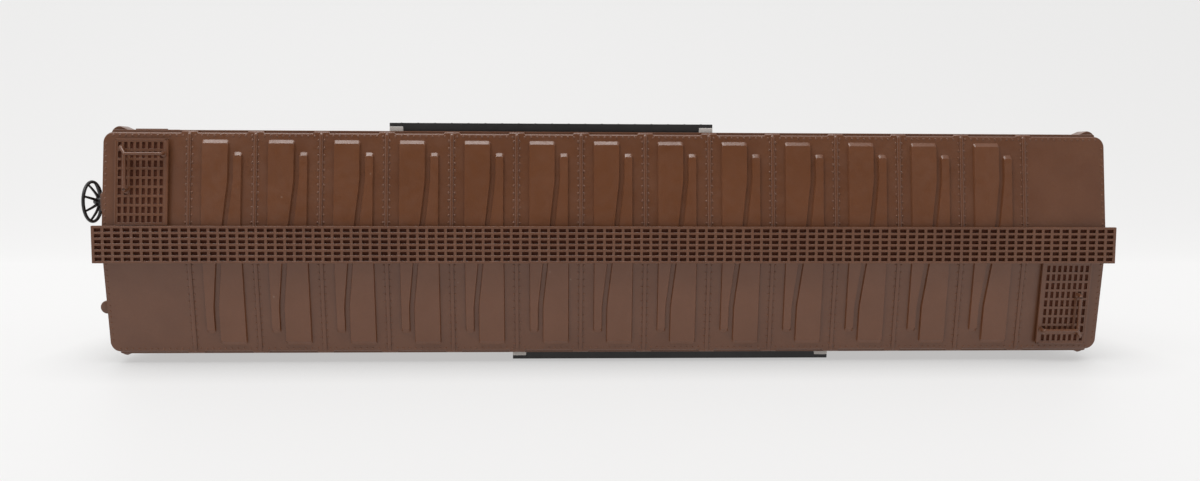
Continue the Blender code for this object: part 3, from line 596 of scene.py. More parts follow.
def grating(x, y, top, thick, columns, rows, bar, cross_bar):
    """Long bars along X between rows of slots, and cross bars along Y that sit a little lower."""
    long_places = np.linspace(y[0] + bar / 2, y[1] - bar / 2, rows + 1)
    cross_places = np.linspace(x[0] + cross_bar / 2, x[1] - cross_bar / 2, columns + 1)
    inner = cross_places[1:-1]
    return merged(
        bars((x[0] + 0.03, x[1] - 0.03), bar, top, top - thick, long_places, "X"),
        bars((y[0] + 0.03, y[1] - 0.03), cross_bar, top - 0.015, top - thick + 0.04, inner, "Y"),
        bars((y[0] + 0.03, y[1] - 0.03), cross_bar, top + 0.004, top - thick, cross_places[[0, -1]], "Y"),
    )


def plate_behind(x, y, z, margin):
    """The plate that closes the slots: a block a little smaller than its grating."""
    return block((x[0] + margin, x[1] - margin), (y[0] + margin, y[1] - margin), z, 0.02)


def board_saddles():
    """A bracket over each seam: an outline across the car, thick along X."""
    under = board_high[2] - 0.68
    foot = 2.45
    left = [(-foot, under + 0.1), (-foot, roof_z(foot) + 0.3), (-0.6, under - 0.25)]
    outline = left + [(-y, z) for y, z in reversed(left)]
    one = slab(rounded(outline, 0.08, 2), -0.4, 0.4, 0.05, "X")
    return copies(one, np.stack([seams, 0 * seams, 0 * seams], 1))


board_x, board_y = (board_low[0], board_high[0]), (board_low[1], board_high[1])
board = grating(board_x, board_y, board_high[2] - 0.004, 0.66, 110, 6, 0.34, 0.40)
# The plate behind the board's slots is in the painted-shade brown.
board_back = plate_behind(board_x, board_y, (board_high[2] - 0.6, board_high[2] - 0.36), 0.1)
piece("running_board_grating", merged(board, board_saddles()), brown, stands_for=["running_board"], angle=30)
piece("running_board_slots", board_back, painted_shade_brown)


def platform_lift(y):
    """Height that carries a flat grating onto the platform's own slope, for positive y."""
    near, far = platform_low[1], platform_high[1]
    low, high = roof_z(near) + 0.5, roof_z(far) + 0.75
    return low + (y - near) / (far - near) * (high - low)


def roof_platform():
    """A flat grating with a raised border, sheared so that its height follows the slope."""
    (x0, y0, _), (x1, y1, _) = platform_low, platform_high
    border = 0.32
    flat = [grating((x0 + 0.1, x1 - 0.35), (y0, y1 - 0.12), -0.06, 0.36, 8, 9, 0.37, 0.38)]
    rim = [((x0, x0 + border), (y0, y1)), ((x1 - 0.55, x1), (y0, y1))]
    rim += [((x0, x1), (y1 - border, y1)), ((x0, x1), (y0, y0 + 0.1))]
    for x, y in rim:
        flat.append(block(x, y, (-0.42, -0.01), 0.09, 0.12))
    return lifted(merged(*flat))


def lifted(shape):
    """Shears a flat shape so that it lies on the platform's slope."""
    points = shape[0].copy()
    points[:, 2] += platform_lift(points[:, 1])
    return points, shape[1]


deck = roof_platform()
deck_x = (platform_low[0] + 0.2, platform_high[0] - 0.5)
deck_y = (platform_low[1] + 0.1, platform_high[1] - 0.2)
# The plates behind the platforms' slots are in the painted-shade brown.
deck_back = lifted(block(deck_x, deck_y, (-0.38, -0.26), 0.02))
piece("roof_platform_grating_b", deck, brown, stands_for=["roof_platform_b"], angle=30)
piece("roof_platform_grating_a", turned(deck, "Z", 180), brown, stands_for=["roof_platform_a"], angle=30)
piece("roof_platform_slots", both_corners(deck_back), painted_shade_brown)

# %% [markdown]
# Each platform carries an L-shaped hand hold. It is a round bar with a foot at both ends and a
# flattened one under its corner, so three short posts join the bent bar to the grating.


# %% Roof hand holds
def roof_grab():
    """A bent path in three dimensions with the tube's circle carried along it, and its bolts."""
    corner_x, corner_y, far_x, far_y = -69.4, 12.85, -64.25, 7.6

    def at(x, y, rise):
        return (x, y, float(platform_lift(y)) + rise)

    corners = [at(far_x, corner_y, 0.0), at(far_x, corner_y, 0.78), at(corner_x, corner_y, 0.78)]
    corners += [at(corner_x, far_y, 0.78), at(corner_x, far_y, 0.0)]
    shapes = [tube(bend(corners, 0.34, 5), 0.25, 10)]
    out_x, out_y = corner_x - 0.7, corner_y + 0.85
    brace = [at(out_x, out_y, 0.0), at(out_x, out_y, 0.25), at(corner_x, corner_y, 0.72)]
    shapes.append(tube(brace, [0.26, 0.26, 0.22], 10))
    feet = np.array([at(far_x, corner_y, 0.0), at(corner_x, far_y, 0.0), at(out_x, out_y, 0.0)])
    shapes.append(copies(lathe([(0.42, -0.05), (0.42, 0.1), (0.3, 0.16)], 10), feet))
    return merged(*shapes)


hold = roof_grab()
piece("roof_hand_hold_b", hold, brown, stands_for=["roof_grab_b"])
piece("roof_hand_hold_a", turned(hold, "Z", 180), brown, stands_for=["roof_grab_a"])

# %% [markdown]
# ## Walls
#
# A wall is a sheet with an outer and an inner face and, on the sides, a doorway through it.
# It is one grid of cells with a mask: cells that are solid get both faces, and wherever a solid
# cell meets an open one, a narrow face closes the edge. The relief is a height for each point.


# %% A wall from a mask
def wall(u, v, solid, outer, inner, axis="Y"):
    """Grid of (u, v) with outer and inner heights. Edges are closed where the mask changes."""
    grid_u, grid_v = np.meshgrid(u, v, indexing="ij")
    count = grid_u.size
    index = np.arange(count).reshape(grid_u.shape)
    first, second, third = ACROSS[axis]
    points = np.zeros((2 * count, 3))
    points[:, first] = np.tile(grid_u.ravel(), 2)
    points[:, second] = np.tile(grid_v.ravel(), 2)
    points[:, third] = np.r_[outer.ravel(), inner.ravel()]
    a, b, c, d = index[:-1, :-1], index[1:, :-1], index[1:, 1:], index[:-1, 1:]
    front = np.stack([a, b, c, d], -1)[solid]
    padded = np.pad(solid, 1)
    here = padded[1:-1, 1:-1]
    edges = []
    sides = [(padded[1:-1, :-2], a, b), (padded[1:-1, 2:], c, d)]
    sides += [(padded[:-2, 1:-1], d, a), (padded[2:, 1:-1], b, c)]
    for beside, p, q in sides:
        rim = here & ~beside
        edges.append(np.stack([p[rim], q[rim], q[rim] + count, p[rim] + count], -1))
    used = np.unique(front)
    faces = [front, front[:, ::-1] + count, np.concatenate(edges)]
    renumber = np.zeros(2 * count, int)
    keep = np.r_[used, used + count]
    renumber[keep] = np.arange(len(keep))
    return points[keep], [renumber[f] for f in faces]


def side_wall():
    """The left side: sheets lap at the posts, so the outer face steps out by a lap each time."""
    posts = np.array([16.2, 27.1, 38.0, 48.9, 59.8])
    posts = np.r_[-posts[::-1], -10.9, 10.9, posts]
    lap = 0.08
    x = np.unique(np.r_[-71.5, 71.5, -10.0, 10.0, posts - 0.75, posts - 0.68, posts + 0.68, posts + 0.75])
    z = np.array([SILL_Z, SILL_Z + 0.06, 12.9, 12.96, 13.4, 46.0, 47.3, 47.36, 49.3])
    near = np.abs(x[:, None] - posts[None]).min(1) < 0.72
    outer = SIDE_Y + np.where(near, lap, 0.0)[:, None] + 0 * z[None]
    outer[:, 0] -= 0.06
    outer[:, 6:] = SIDE_Y + 0.1
    outer[:, 1:3] = SIDE_Y + 0.1
    mid_x, mid_z = (x[1:] + x[:-1]) / 2, (z[1:] + z[:-1]) / 2
    solid = ~((np.abs(mid_x) < 10.0)[:, None] & ((mid_z > 13.4) & (mid_z < 46.0))[None])
    return wall(x, z, solid, outer, 0 * outer + 14.45), posts


def side_rivets(posts):
    """Two columns on every post, and a row along the sill and the eave, as an (x, z) lattice."""
    head = turned(dome(0.13, 0.09), "X", -90)
    column = np.arange(13.6, 47.0, 0.93)
    x, z = np.meshgrid(np.r_[posts - 0.36, posts + 0.36], column)
    keep = (np.abs(x) > 10.3).ravel()
    on_post = np.stack([x.ravel(), 0 * x.ravel() + SIDE_Y + 0.08, z.ravel()], 1)[keep]
    along = np.arange(-70.6, 70.7, 0.93)
    rows = [np.stack([along, 0 * along + SIDE_Y + 0.1, 0 * along + level], 1) for level in (12.2, 47.75)]
    return copies(head, np.vstack([on_post, *rows]))


left_wall, posts = side_wall()
chord = block((-72.0, 72.0), (14.6, 16.3), (48.3, 49.3), 0.12, 0.3)
piece("body_sides", both_corners(merged(left_wall, chord)), brown, angle=30)
piece("side_rivets", both_corners(side_rivets(posts)), brown)

# %% [markdown]
# The ends are pressed with long level corrugations that taper at both ends, and the end sheet
# wraps round each corner of the body as a proud post. The corrugations are one height field:
# a wave down the end, times a fade across it.


# %% Ends and corner posts
def end_wall():
    """Height over (y, z): half a sine between valleys, to the power 1.4, faded near the posts."""
    y = np.r_[-15.4, np.linspace(-14.6, 14.6, 67), 15.4]
    z = np.r_[SILL_Z, 12.6, np.linspace(13.6, 45.6, 145), 46.4, 48.5, 49.3]
    grid_y, grid_z = np.meshgrid(y, z, indexing="ij")
    phase = (grid_z - 13.6) / 4.0
    wave = np.clip(np.sin(np.pi * (phase % 1.0)), 0, 1) ** 1.4
    inside = (grid_z > 13.6) & (grid_z < 45.6)
    reach = 13.4 - 1.6 * (1 - wave)
    fade = np.clip((reach - np.abs(grid_y)) / 1.5, 0, 1)
    height = 0.5 * wave * (3 * fade**2 - 2 * fade**3) * inside
    outer = END_X - 0.22 + height
    solid = np.ones((len(y) - 1, len(z) - 1), bool)
    open_foot = np.abs((y[1:] + y[:-1]) / 2) < 4.0
    solid[np.ix_(open_foot, [0])] = False
    return wall(y, z, solid, outer, 0 * outer + 71.4, "X")


def corner_post(reach, low, high, taper=0.0):
    """A quarter round on the outside of a corner, closed by two flats on the inside."""
    angle = np.linspace(0, 0.5 * np.pi, 9)
    face = 72.95
    arc = np.stack([face - CORNER + CORNER * np.cos(angle), reach - CORNER + CORNER * np.sin(angle)], 1)
    tail = [(70.5, reach - taper), (70.5, 15.6), (71.2, 15.6)]
    outline = np.vstack([[(71.2, 14.6), (face, 14.6)], arc, tail])
    return slab(outline, low, high, 0.15)


def corner_rivets():
    """Two columns on the flange of each post."""
    head = turned(dome(0.12, 0.08), "X", -90)
    z = np.arange(12.6, 44.2, 0.93)
    return copies(head, np.stack([0 * z + 71.05, 0 * z + 15.95, z], 1))


post = merged(corner_post(15.95, 11.6, 45.2), corner_post(16.85, 44.8, 47.7, 0.5), corner_rivets())
mirrored = (post[0] * np.array([-1, 1, 1]), [f[:, ::-1] for f in post[1]])
piece("body_ends", both_corners(end_wall()), brown, angle=30)
piece("corner_posts", both_corners(merged(post, mirrored)), brown)

# %% [markdown]
# ## Doors and their tracks
#
# Each door is a pressed sheet in a frame of flat bars: three panels one above the other, each
# with level corrugations. It slides between a black hood above and a black channel below.


# %% Doors
door_low, door_high = box_mm("door_left")


def door():
    """A height field on the door's face: bars at the edges and between panels, waves in between."""
    (x0, y0, z0), (x1, y1, z1) = door_low, door_high
    half, tall = (x1 - x0) / 2, z1 - z0
    edge = half - np.array([0.0, 0.05, 1.15, 1.3])
    x = np.unique(np.r_[-edge, np.linspace(-half + 1.7, half - 1.7, 31), edge])
    z = np.linspace(0, tall, 265)
    grid_x, grid_z = np.meshgrid(x, z, indexing="ij")
    panel = tall / 3
    part = (grid_z / panel) % 1.0
    wave = np.clip(np.sin(np.pi * ((part - 0.07) / 0.86 * 5 % 1.0)), 0, 1) ** 0.8
    fade = np.clip((half - 1.7 - np.abs(grid_x)) / 1.1, 0, 1)
    height = 0.42 * wave * (3 * fade**2 - 2 * fade**3)
    bar = (np.abs(grid_x) > half - 1.22) | (part < 0.045) | (part > 0.955)
    face = y0 + 0.42 + np.where(bar, y1 - y0 - 0.47, height)
    solid = np.ones((len(x) - 1, len(z) - 1), bool)
    return wall(x, z + z0, solid, face, 0 * face + y0)


def door_fittings():
    """Rivets on the frame, two hangers at the top, a latch bar and a hand hold."""
    (x0, y0, z0), (x1, y1, z1) = door_low, door_high
    head = turned(dome(0.11, 0.07), "X", -90)
    z = np.arange(z0 + 0.7, z1 - 0.4, 0.95)
    sides = np.array([x0 + 0.55, x1 - 0.55])
    x, z = np.meshgrid(sides, z)
    shapes = [copies(head, np.stack([x.ravel(), 0 * x.ravel() + y1 - 0.06, z.ravel()], 1))]
    for hanger in (x0 + 3.4, x1 - 3.4):
        across = (hanger - 0.7, hanger + 0.7)
        shapes.append(block(across, (y1 - 0.2, y1 - 0.001), (z1 - 2.3, z1 - 0.05), 0.05, 0.1))
    grip = x0 + 2.6
    bar_y = y1 - 0.14
    grip_path = [(grip, y0 + 0.4, z0 + 9), (grip, bar_y, z0 + 9)]
    grip_path += [(grip, bar_y, z0 + 13), (grip, y0 + 0.4, z0 + 13)]
    shapes.append(tube(bend(grip_path, 0.12, 3), 0.13, 8))
    shapes.append(tube([(x1 - 0.55, y1 - 0.13, z0 + 9.5), (x1 - 0.55, y1 - 0.13, z0 + 24.0)], 0.13, 8))
    return merged(*shapes)


leaf = merged(door(), door_fittings())
piece("sliding_door_left", leaf, brown, "door_left", ["door_left"], angle=30)
piece("sliding_door_right", turned(leaf, "Z", 180), brown, "door_right", ["door_right"], angle=30)


# %% Door tracks
def channel(name, section, edge=0.07):
    """A section across the car, rounded and carried along X between the node's ends."""
    low, high = box_mm(name)
    return slab(rounded(section, edge, 3), low[0], high[0], 0.06, "X")


def track_bolts(name, z, outward):
    """Bolt heads along the face of a track, at an even pitch between its ends."""
    low, high = box_mm(name)
    x = np.linspace(low[0] + 1.6, high[0] - 1.6, 19)
    return copies(turned(dome(0.16, 0.07), "X", -90), np.stack([x, 0 * x + outward, 0 * x + z], 1))


upper_low, upper_high = box_mm("upper_door_track_left")
lower_low, lower_high = box_mm("lower_door_track_left")
back, front = upper_low[1], upper_high[1]
track_top = upper_high[2] - 0.1
lip_in, lip_out = front - 0.55, front - 0.07
hood = [(back, track_top - 0.5), (lip_in, track_top - 0.5), (lip_in, upper_low[2])]
hood += [(lip_out, upper_low[2]), (lip_out, track_top), (back, track_top)]
trough = [(back, lower_low[2]), (lip_out, lower_low[2]), (lip_out, lower_high[2])]
trough += [(lip_in, lower_high[2]), (lip_in, lower_low[2] + 0.5), (back, lower_low[2] + 0.5)]
for name, section, bolt_z in (
    ("upper_door_track", hood, track_top - 0.9),
    ("lower_door_track", trough, lower_low[2] + 0.8),
):
    shape = merged(channel(name + "_left", section), track_bolts(name + "_left", bolt_z, lip_out))
    piece(name + "_rail_left", shape, black, stands_for=[name + "_left"], angle=30)
    piece(name + "_rail_right", turned(shape, "Z", 180), black, stands_for=[name + "_right"], angle=30)


def track_stops():
    """A pale block closes each end of the hood, between its lip and the side of the car."""
    ends = [(upper_low[0], upper_low[0] + 2.0), (upper_high[0] - 2.0, upper_high[0])]
    z = (upper_low[2] + 0.35, upper_high[2])
    return merged(*[block(x, (back, front - 0.6), z, 0.1, 0.12) for x in ends])


piece("track_stops", both_corners(track_stops()), pale, angle=30)

# %% [markdown]
# ## Ladders and steps
#
# A ladder is two flat stiles and a column of round rungs, so one rung is made and copied to an
# even row of heights. It is worked out flat against a wall at the origin, and then placed.


# %% Ladders and steps
def ladder(width, depth, low, high, rungs=8):
    """Stiles, stand-off feet, rungs at an even pitch and a bolt at each end of each rung."""
    stile, rung_y = 0.4, 0.58
    shapes = []
    heights = np.linspace(low + 1.16, high - 0.84, rungs)
    bolt = turned(dome(0.12, 0.07, 6), "X", -90)
    for x in (0.0, width - stile):
        shapes.append(block((x, x + stile), (0.3, depth), (low, high), 0.06, 0.08))
        for z in (low + 0.5, (low + high) / 2, high - 0.5):
            shapes.append(block((x + 0.04, x + stile - 0.04), (0.0, 0.36), (z - 0.2, z + 0.2), 0.04))
        places = np.stack([0 * heights + x + stile / 2, 0 * heights + depth, heights + 0.35], 1)
        shapes.append(copies(bolt, places))
    rung = tube([(0.12, rung_y, 0), (width - 0.12, rung_y, 0)], 0.16, 8)
    shapes.append(copies(rung, np.stack([0 * heights, 0 * heights, heights], 1)))
    return merged(*shapes)


def sill_step():
    """A flat strap bent into a U, with a bolt at the top of each leg."""
    low, high = box_mm("sill_step_left_b")
    half, strap = (high[0] - low[0]) / 2, 0.4
    legs = [(-half, high[2]), (-half, low[2]), (half, low[2]), (half, high[2])]
    leg, floor_z = half - strap, low[2] + strap
    inside = [(leg, high[2]), (leg, floor_z), (-leg, floor_z), (-leg, high[2])]
    outline = rounded(legs + inside, [0.1, 0.6, 0.6, 0.1, 0.1, 0.3, 0.3, 0.1], 5)
    bolt = turned(dome(0.13, 0.08, 6), "X", -90)
    bolts = copies(bolt, [(x, high[1] - 0.05, high[2] - 0.5) for x in (0.2 - half, half - 0.2)])
    return merged(slab(outline, low[1], high[1] - 0.05, 0.04, "Y"), bolts)


side_low, side_high = box_mm("side_ladder_left")
end_low, end_high = box_mm("end_ladder_b")
beside = moved(ladder(side_high[0] - side_low[0], 0.5, side_low[2], side_high[2]), side_low[0], side_low[1])
across_end = turned(ladder(end_high[1] - end_low[1], 0.8, end_low[2], end_high[2]), "Z", 90)
across_end = moved(across_end, end_high[0], end_low[1])
step = sill_step()
for name, shape, left, right in (
    ("side_ladder_rungs", beside, "side_ladder_left", "side_ladder_right"),
    ("end_ladder_rungs", across_end, "end_ladder_b", "end_ladder_a"),
    ("foot_step_b", moved(step, -67.6), "sill_step_left_b", "sill_step_right_a"),
    ("foot_step_a", moved(step, 67.6), "sill_step_left_a", "sill_step_right_b"),
):
    piece(name + "_near", shape, brown, stands_for=[left], angle=30)
    piece(name + "_far", turned(shape, "Z", 180), brown, stands_for=[right], angle=30)

# %% [markdown]
# ## Hand brake
#
# The wheel is dished: its rim stands further out than its hub. A point on a spoke goes out by
# t and along the axis by t to the power 1.6, so the spokes leave the hub flat and then bend.


# %% Brake wheel
wheel_low, wheel_high = box_mm("brake_wheel")
hub = np.array([wheel_low[0] + 1.24, (wheel_low[1] + wheel_high[1]) / 2, (wheel_low[2] + wheel_high[2]) / 2])


def brake_wheel():
    """A ring with a round section, eight tapered spokes, a hub with its nut, and the shaft."""
    ring = (wheel_high[2] - wheel_low[2]) / 2 - 0.24
    angle = np.linspace(0, 2 * np.pi, 12, endpoint=False)
    section = np.stack([ring + 0.24 * np.cos(angle), -1.0 + 0.24 * np.sin(angle)], 1)
    shapes = [lathe(section, 64, "X", closed=True)]
    boss = [(0.0, -0.5), (0.5, -0.5), (0.72, -0.32), (0.78, 0.1)]
    boss += [(0.66, 0.55), (0.42, 0.7), (0.42, 2.05), (0.0, 2.1)]
    shapes.append(lathe(boss, 24, "X"))
    shapes.append(lathe([(0.0, -0.82), (0.3, -0.8), (0.36, -0.72), (0.36, -0.45), (0.0, -0.45)], 6, "X"))
    t = np.linspace(0, 1, 7)
    for number in range(8):
        turn = math.radians(27 + 45 * number)
        out = 0.5 + (ring - 0.5) * t
        path = np.stack([-(t**1.6), out * math.cos(turn), out * math.sin(turn)], 1)
        shapes.append(tube(path, 0.24 - 0.08 * t, 8))
    return merged(*shapes)


piece("spoked_brake_wheel", moved(brake_wheel(), *hub), black, "brake_wheel", ["brake_wheel"])


# %% [markdown]
# Under the brake wheel come the box it turns, the rod that hangs from the box, a small step to
# stand on and the valve with its pipe.


# %% Brake gear on the end
def brake_housing():
    """The gear box: a six-sided outline with round corners, a boss, and bolts round its face."""
    low, high = box_mm("brake_housing")
    y, z = hub[1], hub[2]
    outline = [(y - 1.2, low[2]), (y + 1.2, low[2]), (high[1], z - 0.4)]
    outline += [(y + 1.3, high[2]), (y - 1.3, high[2]), (low[1], z - 0.4)]
    shapes = [slab(rounded(outline, 0.45, 5), low[0], high[0], 0.22, "X")]
    boss = lathe([(0.0, -0.12), (0.85, -0.12), (0.95, 0.02), (0.95, 0.3), (0.0, 0.3)], 24, "X")
    shapes.append(moved(boss, low[0] + 0.1, y, z))
    bolt = turned(dome(0.14, 0.1, 6), "Y", -90)
    bolt_places = ((-1.2, -0.5), (1.2, -0.5), (-0.8, 1.5), (0.8, 1.5), (0.0, -1.8))
    shapes.append(copies(bolt, [(low[0] + 0.02, y + a, z + b) for a, b in bolt_places]))
    return merged(*shapes)


def brake_rod():
    """A straight bar down the end, between two clevises with their pins."""
    low, high = box_mm("brake_rod")
    x, y = (low[0] + high[0]) / 2, (low[1] + high[1]) / 2
    shapes = [tube([(x, y, low[2] + 0.3), (x, y, high[2])], 0.28, 12)]
    for z in (low[2], high[2] - 1.5):
        shapes.append(block((x - 0.45, x + 0.45), (y - 0.4, y + 0.4), (z, z + 1.2), 0.1, 0.15))
        shapes.append(tube([(x, y - 0.55, z + 0.6), (x, y + 0.55, z + 0.6)], 0.18, 8))
    return merged(*shapes)


def brake_step():
    """A small grating on two brackets."""
    low, high = box_mm("brake_step")
    x, y = (low[0], high[0]), (low[1], high[1])
    shapes = [grating(x, y, high[2], 0.5, 3, 9, 0.24, 0.3)]
    shapes.append(plate_behind(x, y, (high[2] - 0.46, high[2] - 0.2), 0.06))
    under = high[2] - 0.4
    for side in (low[1] + 0.7, high[1] - 1.1):
        outline = [(low[0] + 0.3, under), (high[0], under), (high[0], low[2]), (high[0] - 0.4, low[2])]
        shapes.append(slab(rounded(outline, 0.1, 3), side, side + 0.4, 0.05, "Y"))
    return merged(*shapes)


def retainer_valve():
    """A turned body with a waist and a cap, its flange on the wall, and a pipe held by clips."""
    low, high = box_mm("retainer_valve")
    x, y, top = low[0] + 0.97, (low[1] + high[1]) / 2, high[2]
    body = [(0.0, top - 2.6), (0.5, top - 2.55), (0.75, top - 2.2), (0.97, top - 1.9)]
    body += [(0.97, top - 0.25), (0.86, top - 0.06), (0.6, top), (0.0, top)]
    shapes = [moved(lathe(body, 32), x, y)]
    shapes.append(block((x, -END_X - 0.06), (y - 0.7, y + 0.7), (top - 1.1, top - 0.4), 0.08, 0.1))
    pipe_x = x + 0.55
    shapes.append(tube([(pipe_x, y, top - 2.4), (pipe_x, y, low[2])], 0.2, 10))
    for z in (20.0, 29.0, 38.0):
        shapes.append(block((pipe_x - 0.3, -END_X - 0.15), (y - 0.32, y + 0.32), (z, z + 0.5), 0.06, 0.08))
    return merged(*shapes)


for name, shape, node in (
    ("brake_gear_box", brake_housing(), "brake_housing"),
    ("brake_pull_rod", brake_rod(), "brake_rod"),
    ("brake_foot_board", brake_step(), "brake_step"),
    ("retainer_valve_and_pipe", retainer_valve(), "retainer_valve"),
):
    piece(name, shape, brown, stands_for=[node], angle=34)

# %% [markdown]
# ## Underframe
#
# Seen from below, the floor is crossed by a deep centre sill, a bolster over each truck and
# cross bearers between them. They are outlines across or along the car, all from the same slab.


# %% Underframe
under_low, under_high = box_mm("underframe")
FLOOR_Z = 11.6
TRUCK_X = 53.65
POCKET_START = 62.2


def underframe():
    """Floor, sills, bolsters, bearers, ties, stringers and coupler pockets, joined by overlap."""
    top = FLOOR_Z + 0.2
    shapes = [block((-71.2, 71.2), (-14.3, 14.3), (FLOOR_Z, under_high[2]), 0.08, 0.3)]
    belly = [(-36, top), (-36, 9.9), (-33, under_low[2]), (33, under_low[2]), (36, 9.9), (36, top)]
    shapes.append(slab(rounded(belly, 0.2, 3), -2.25, 2.25, 0.08, "Y"))
    shapes.append(block((-POCKET_START - 0.4, POCKET_START + 0.4), (-2.1, 2.1), (9.9, top), 0.08, axis="X"))
    bolster = [(-13.6, top), (-13.6, 10.9), (-5, 9.7), (5, 9.7), (13.6, 10.9), (13.6, top)]
    beam = [(-13.8, top), (-13.8, 10.8), (-4, 9.4), (4, 9.4), (13.8, 10.8), (13.8, top)]
    flange = [(-13.7, 11.0), (-4, 9.62), (4, 9.62), (13.7, 11.0)]
    flange = np.array(flange + [(y, z - 0.2 if z > 10 else z - 0.22) for y, z in reversed(flange)])
    for x in (-TRUCK_X, TRUCK_X):
        shapes.append(slab(rounded(bolster, 0.3, 3), x - 2.2, x + 2.2, 0.1, "X"))
        shapes.append(block((x - 2.8, x + 2.8), (-13.6, 13.6), (11.2, 11.45), 0.05, 0.2))
        plate = lathe([(0.0, 9.3), (2.6, 9.3), (2.8, 9.45), (2.8, 10.0), (0.0, 10.0)], 32)
        shapes.append(moved(plate, x))
    for x in (-17.0, 17.0):
        shapes.append(slab(rounded(beam, 0.3, 3), x - 0.35, x + 0.35, 0.06, "X"))
        shapes.append(slab(flange, x - 1.0, x + 1.0, 0.05, "X"))
    for x in (-34.0, -25.5, 0.0, 25.5, 34.0):
        shapes.append(block((x - 0.2, x + 0.2), (-13.8, 13.8), (10.7, top), 0.05))
        shapes.append(block((x - 0.65, x + 0.65), (-13.8, 13.8), (10.7, 10.9), 0.05))
    for y in (-10.6, -6.2, 6.2, 10.6):
        shapes.append(block((-70.5, 70.5), (y - 0.22, y + 0.22), (11.0, top), 0.05, axis="X"))
    pocket = [block((POCKET_START, under_high[0]), (y, y + 0.8), (9.3, top), 0.08) for y in (-3.9, 3.1)]
    pocket.append(block((POCKET_START, 64.7), (-3.9, 3.9), (9.3, top), 0.08))
    pocket.append(moved(lathe([(0.0, 9.3), (1.0, 9.3), (1.0, top), (0.0, top)], 20), 67.0))
    shapes.append(both_corners(merged(*pocket)))
    return merged(*shapes)


def underframe_rivets():
    """Rows along the bottom flanges of the sill and round each bolster's plate."""
    head = turned(dome(0.14, 0.09, 6), "X", 180)
    x = np.arange(-32, 32.1, 1.6)
    rows = [np.stack([x, 0 * x + y, 0 * x + under_low[2] + 0.01], 1) for y in (-1.8, 1.8)]
    y = np.r_[np.arange(-13, -5.9, 1.2), np.arange(6, 13.1, 1.2)]
    for centre in (-TRUCK_X, TRUCK_X):
        rows += [np.stack([0 * y + centre + side, y, 0 * y + 11.2], 1) for side in (-2.5, 2.5)]
    return copies(head, np.vstack(rows))


members = merged(underframe(), underframe_rivets())
piece("underframe_members", members, black, stands_for=["underframe"], angle=30)
weight_low, weight_high = box_mm("weight_plate")
weight = block(*zip(weight_low, weight_high), 0.15, 0.4)
piece("steel_weight", weight, steel, stands_for=["weight_plate"])

# %% [markdown]
# The air brake hangs under the floor: a cylinder with its push rod, a long reservoir, a valve
# of three castings, and the pipes and levers between them. All the round parts are profiles.


# %% Air brake
def drum(profile, centre):
    """A profile turned about X and moved to its centre."""
    return moved(lathe(profile, 36, "X"), *centre)


def brake_cylinder():
    """A drum with a bolted head, a push rod in a clevis, and its bracket."""
    centre = (-8.5, 7.6, 9.35)
    body = [(0, -3.4), (0.9, -3.3), (1.25, -2.9), (1.6, -2.5), (1.62, 2.4)]
    body += [(1.75, 2.45), (1.75, 2.75), (1.4, 3.0), (0, 3.05)]
    shapes = [drum(body, centre), drum([(0, -2.55), (2.0, -2.55), (2.0, -2.15), (0, -2.15)], centre)]
    shapes.append(drum([(0, -5.2), (0.28, -5.15), (0.3, -3.2), (0, -3.2)], centre))
    angle = np.linspace(0, 2 * np.pi, 8, endpoint=False)
    nuts = np.stack([0 * angle - 2.58, 1.82 * np.cos(angle), 1.82 * np.sin(angle)], 1) + centre
    shapes.append(copies(lathe([(0.0, -0.1), (0.15, -0.1), (0.15, 0.1), (0, 0.1)], 6, "X"), nuts))
    shapes.append(block((-9.6, -7.2), (6.9, 8.3), (10.6, FLOOR_Z - 0.06), 0.1, 0.2))
    return merged(*shapes)


def air_reservoir():
    """A tank with domed ends, two straps and a bracket."""
    centre = (8.5, -7.8, 9.45)
    angle = np.linspace(0, 0.5 * np.pi, 6)
    cap = np.stack([1.8 * np.cos(angle), 5.3 + 0.9 * np.sin(angle)], 1)
    profile = np.vstack([cap[::-1] * [1, -1], cap])
    shapes = [drum(profile, centre)]
    for x in (-3.0, 0.0, 3.0):
        half_strap = [(0, x - 0.25), (1.9, x - 0.25), (1.92, x - 0.2)]
        strap = half_strap + [(r, 2 * x - along) for r, along in reversed(half_strap)]
        shapes.append(drum(strap, centre))
    shapes.append(block((5.2, 11.8), (-8.6, -7.0), (10.8, FLOOR_Z - 0.06), 0.1, 0.2))
    return merged(*shapes)


def control_valve():
    """A square casting between two round ones, with bolts on its face."""
    shapes = [block((5.6, 8.4), (6.4, 8.8), (8.4, 10.8), 0.25, 0.35)]
    shapes.append(block((6.2, 7.8), (6.8, 8.4), (10.6, FLOOR_Z - 0.06), 0.08))
    bowl = [(0, -1.2), (0.7, -1.15), (0.95, -0.9), (0.95, 0.9), (0.7, 1.15), (0, 1.2)]
    for x in (4.9, 9.1):
        shapes.append(drum(bowl, (x, 7.6, 9.6)))
    bolt = turned(dome(0.17, 0.12, 6), "X", 180)
    shapes.append(copies(bolt, [(x, y, 8.42) for x in (6.1, 7.9) for y in (6.9, 8.3)]))
    return merged(*shapes)


def brake_rigging():
    """The lever, a slab, the pull rods, and a pin through each end of the lever."""
    lever = [(-16, 3.0), (-14.9, 3.0), (-13.7, 8.4), (-14.3, 8.6), (-15.1, 8.2)]
    shapes = [slab(rounded(lever, 0.25, 4), 8.8, 9.2, 0.06)]
    shapes.append(tube([(-15.4, 3.3, 9.0), (36.0, 3.3, 9.0)], 0.2, 10))
    shapes.append(tube([(-15.4, 4.0, 9.0), (-36.0, 3.6, 9.0)], 0.2, 10))
    shapes.append(block((-0.2, 0.2), (3.05, 3.55), (8.9, 10.6), 0.06, 0.08))
    pin = lathe([(0.0, 8.6), (0.3, 8.62), (0.3, 9.38), (0.0, 9.4)], 12)
    shapes.append(copies(pin, [(-15.4, 3.5, 0), (-14.3, 8.0, 0)]))
    return merged(*shapes)


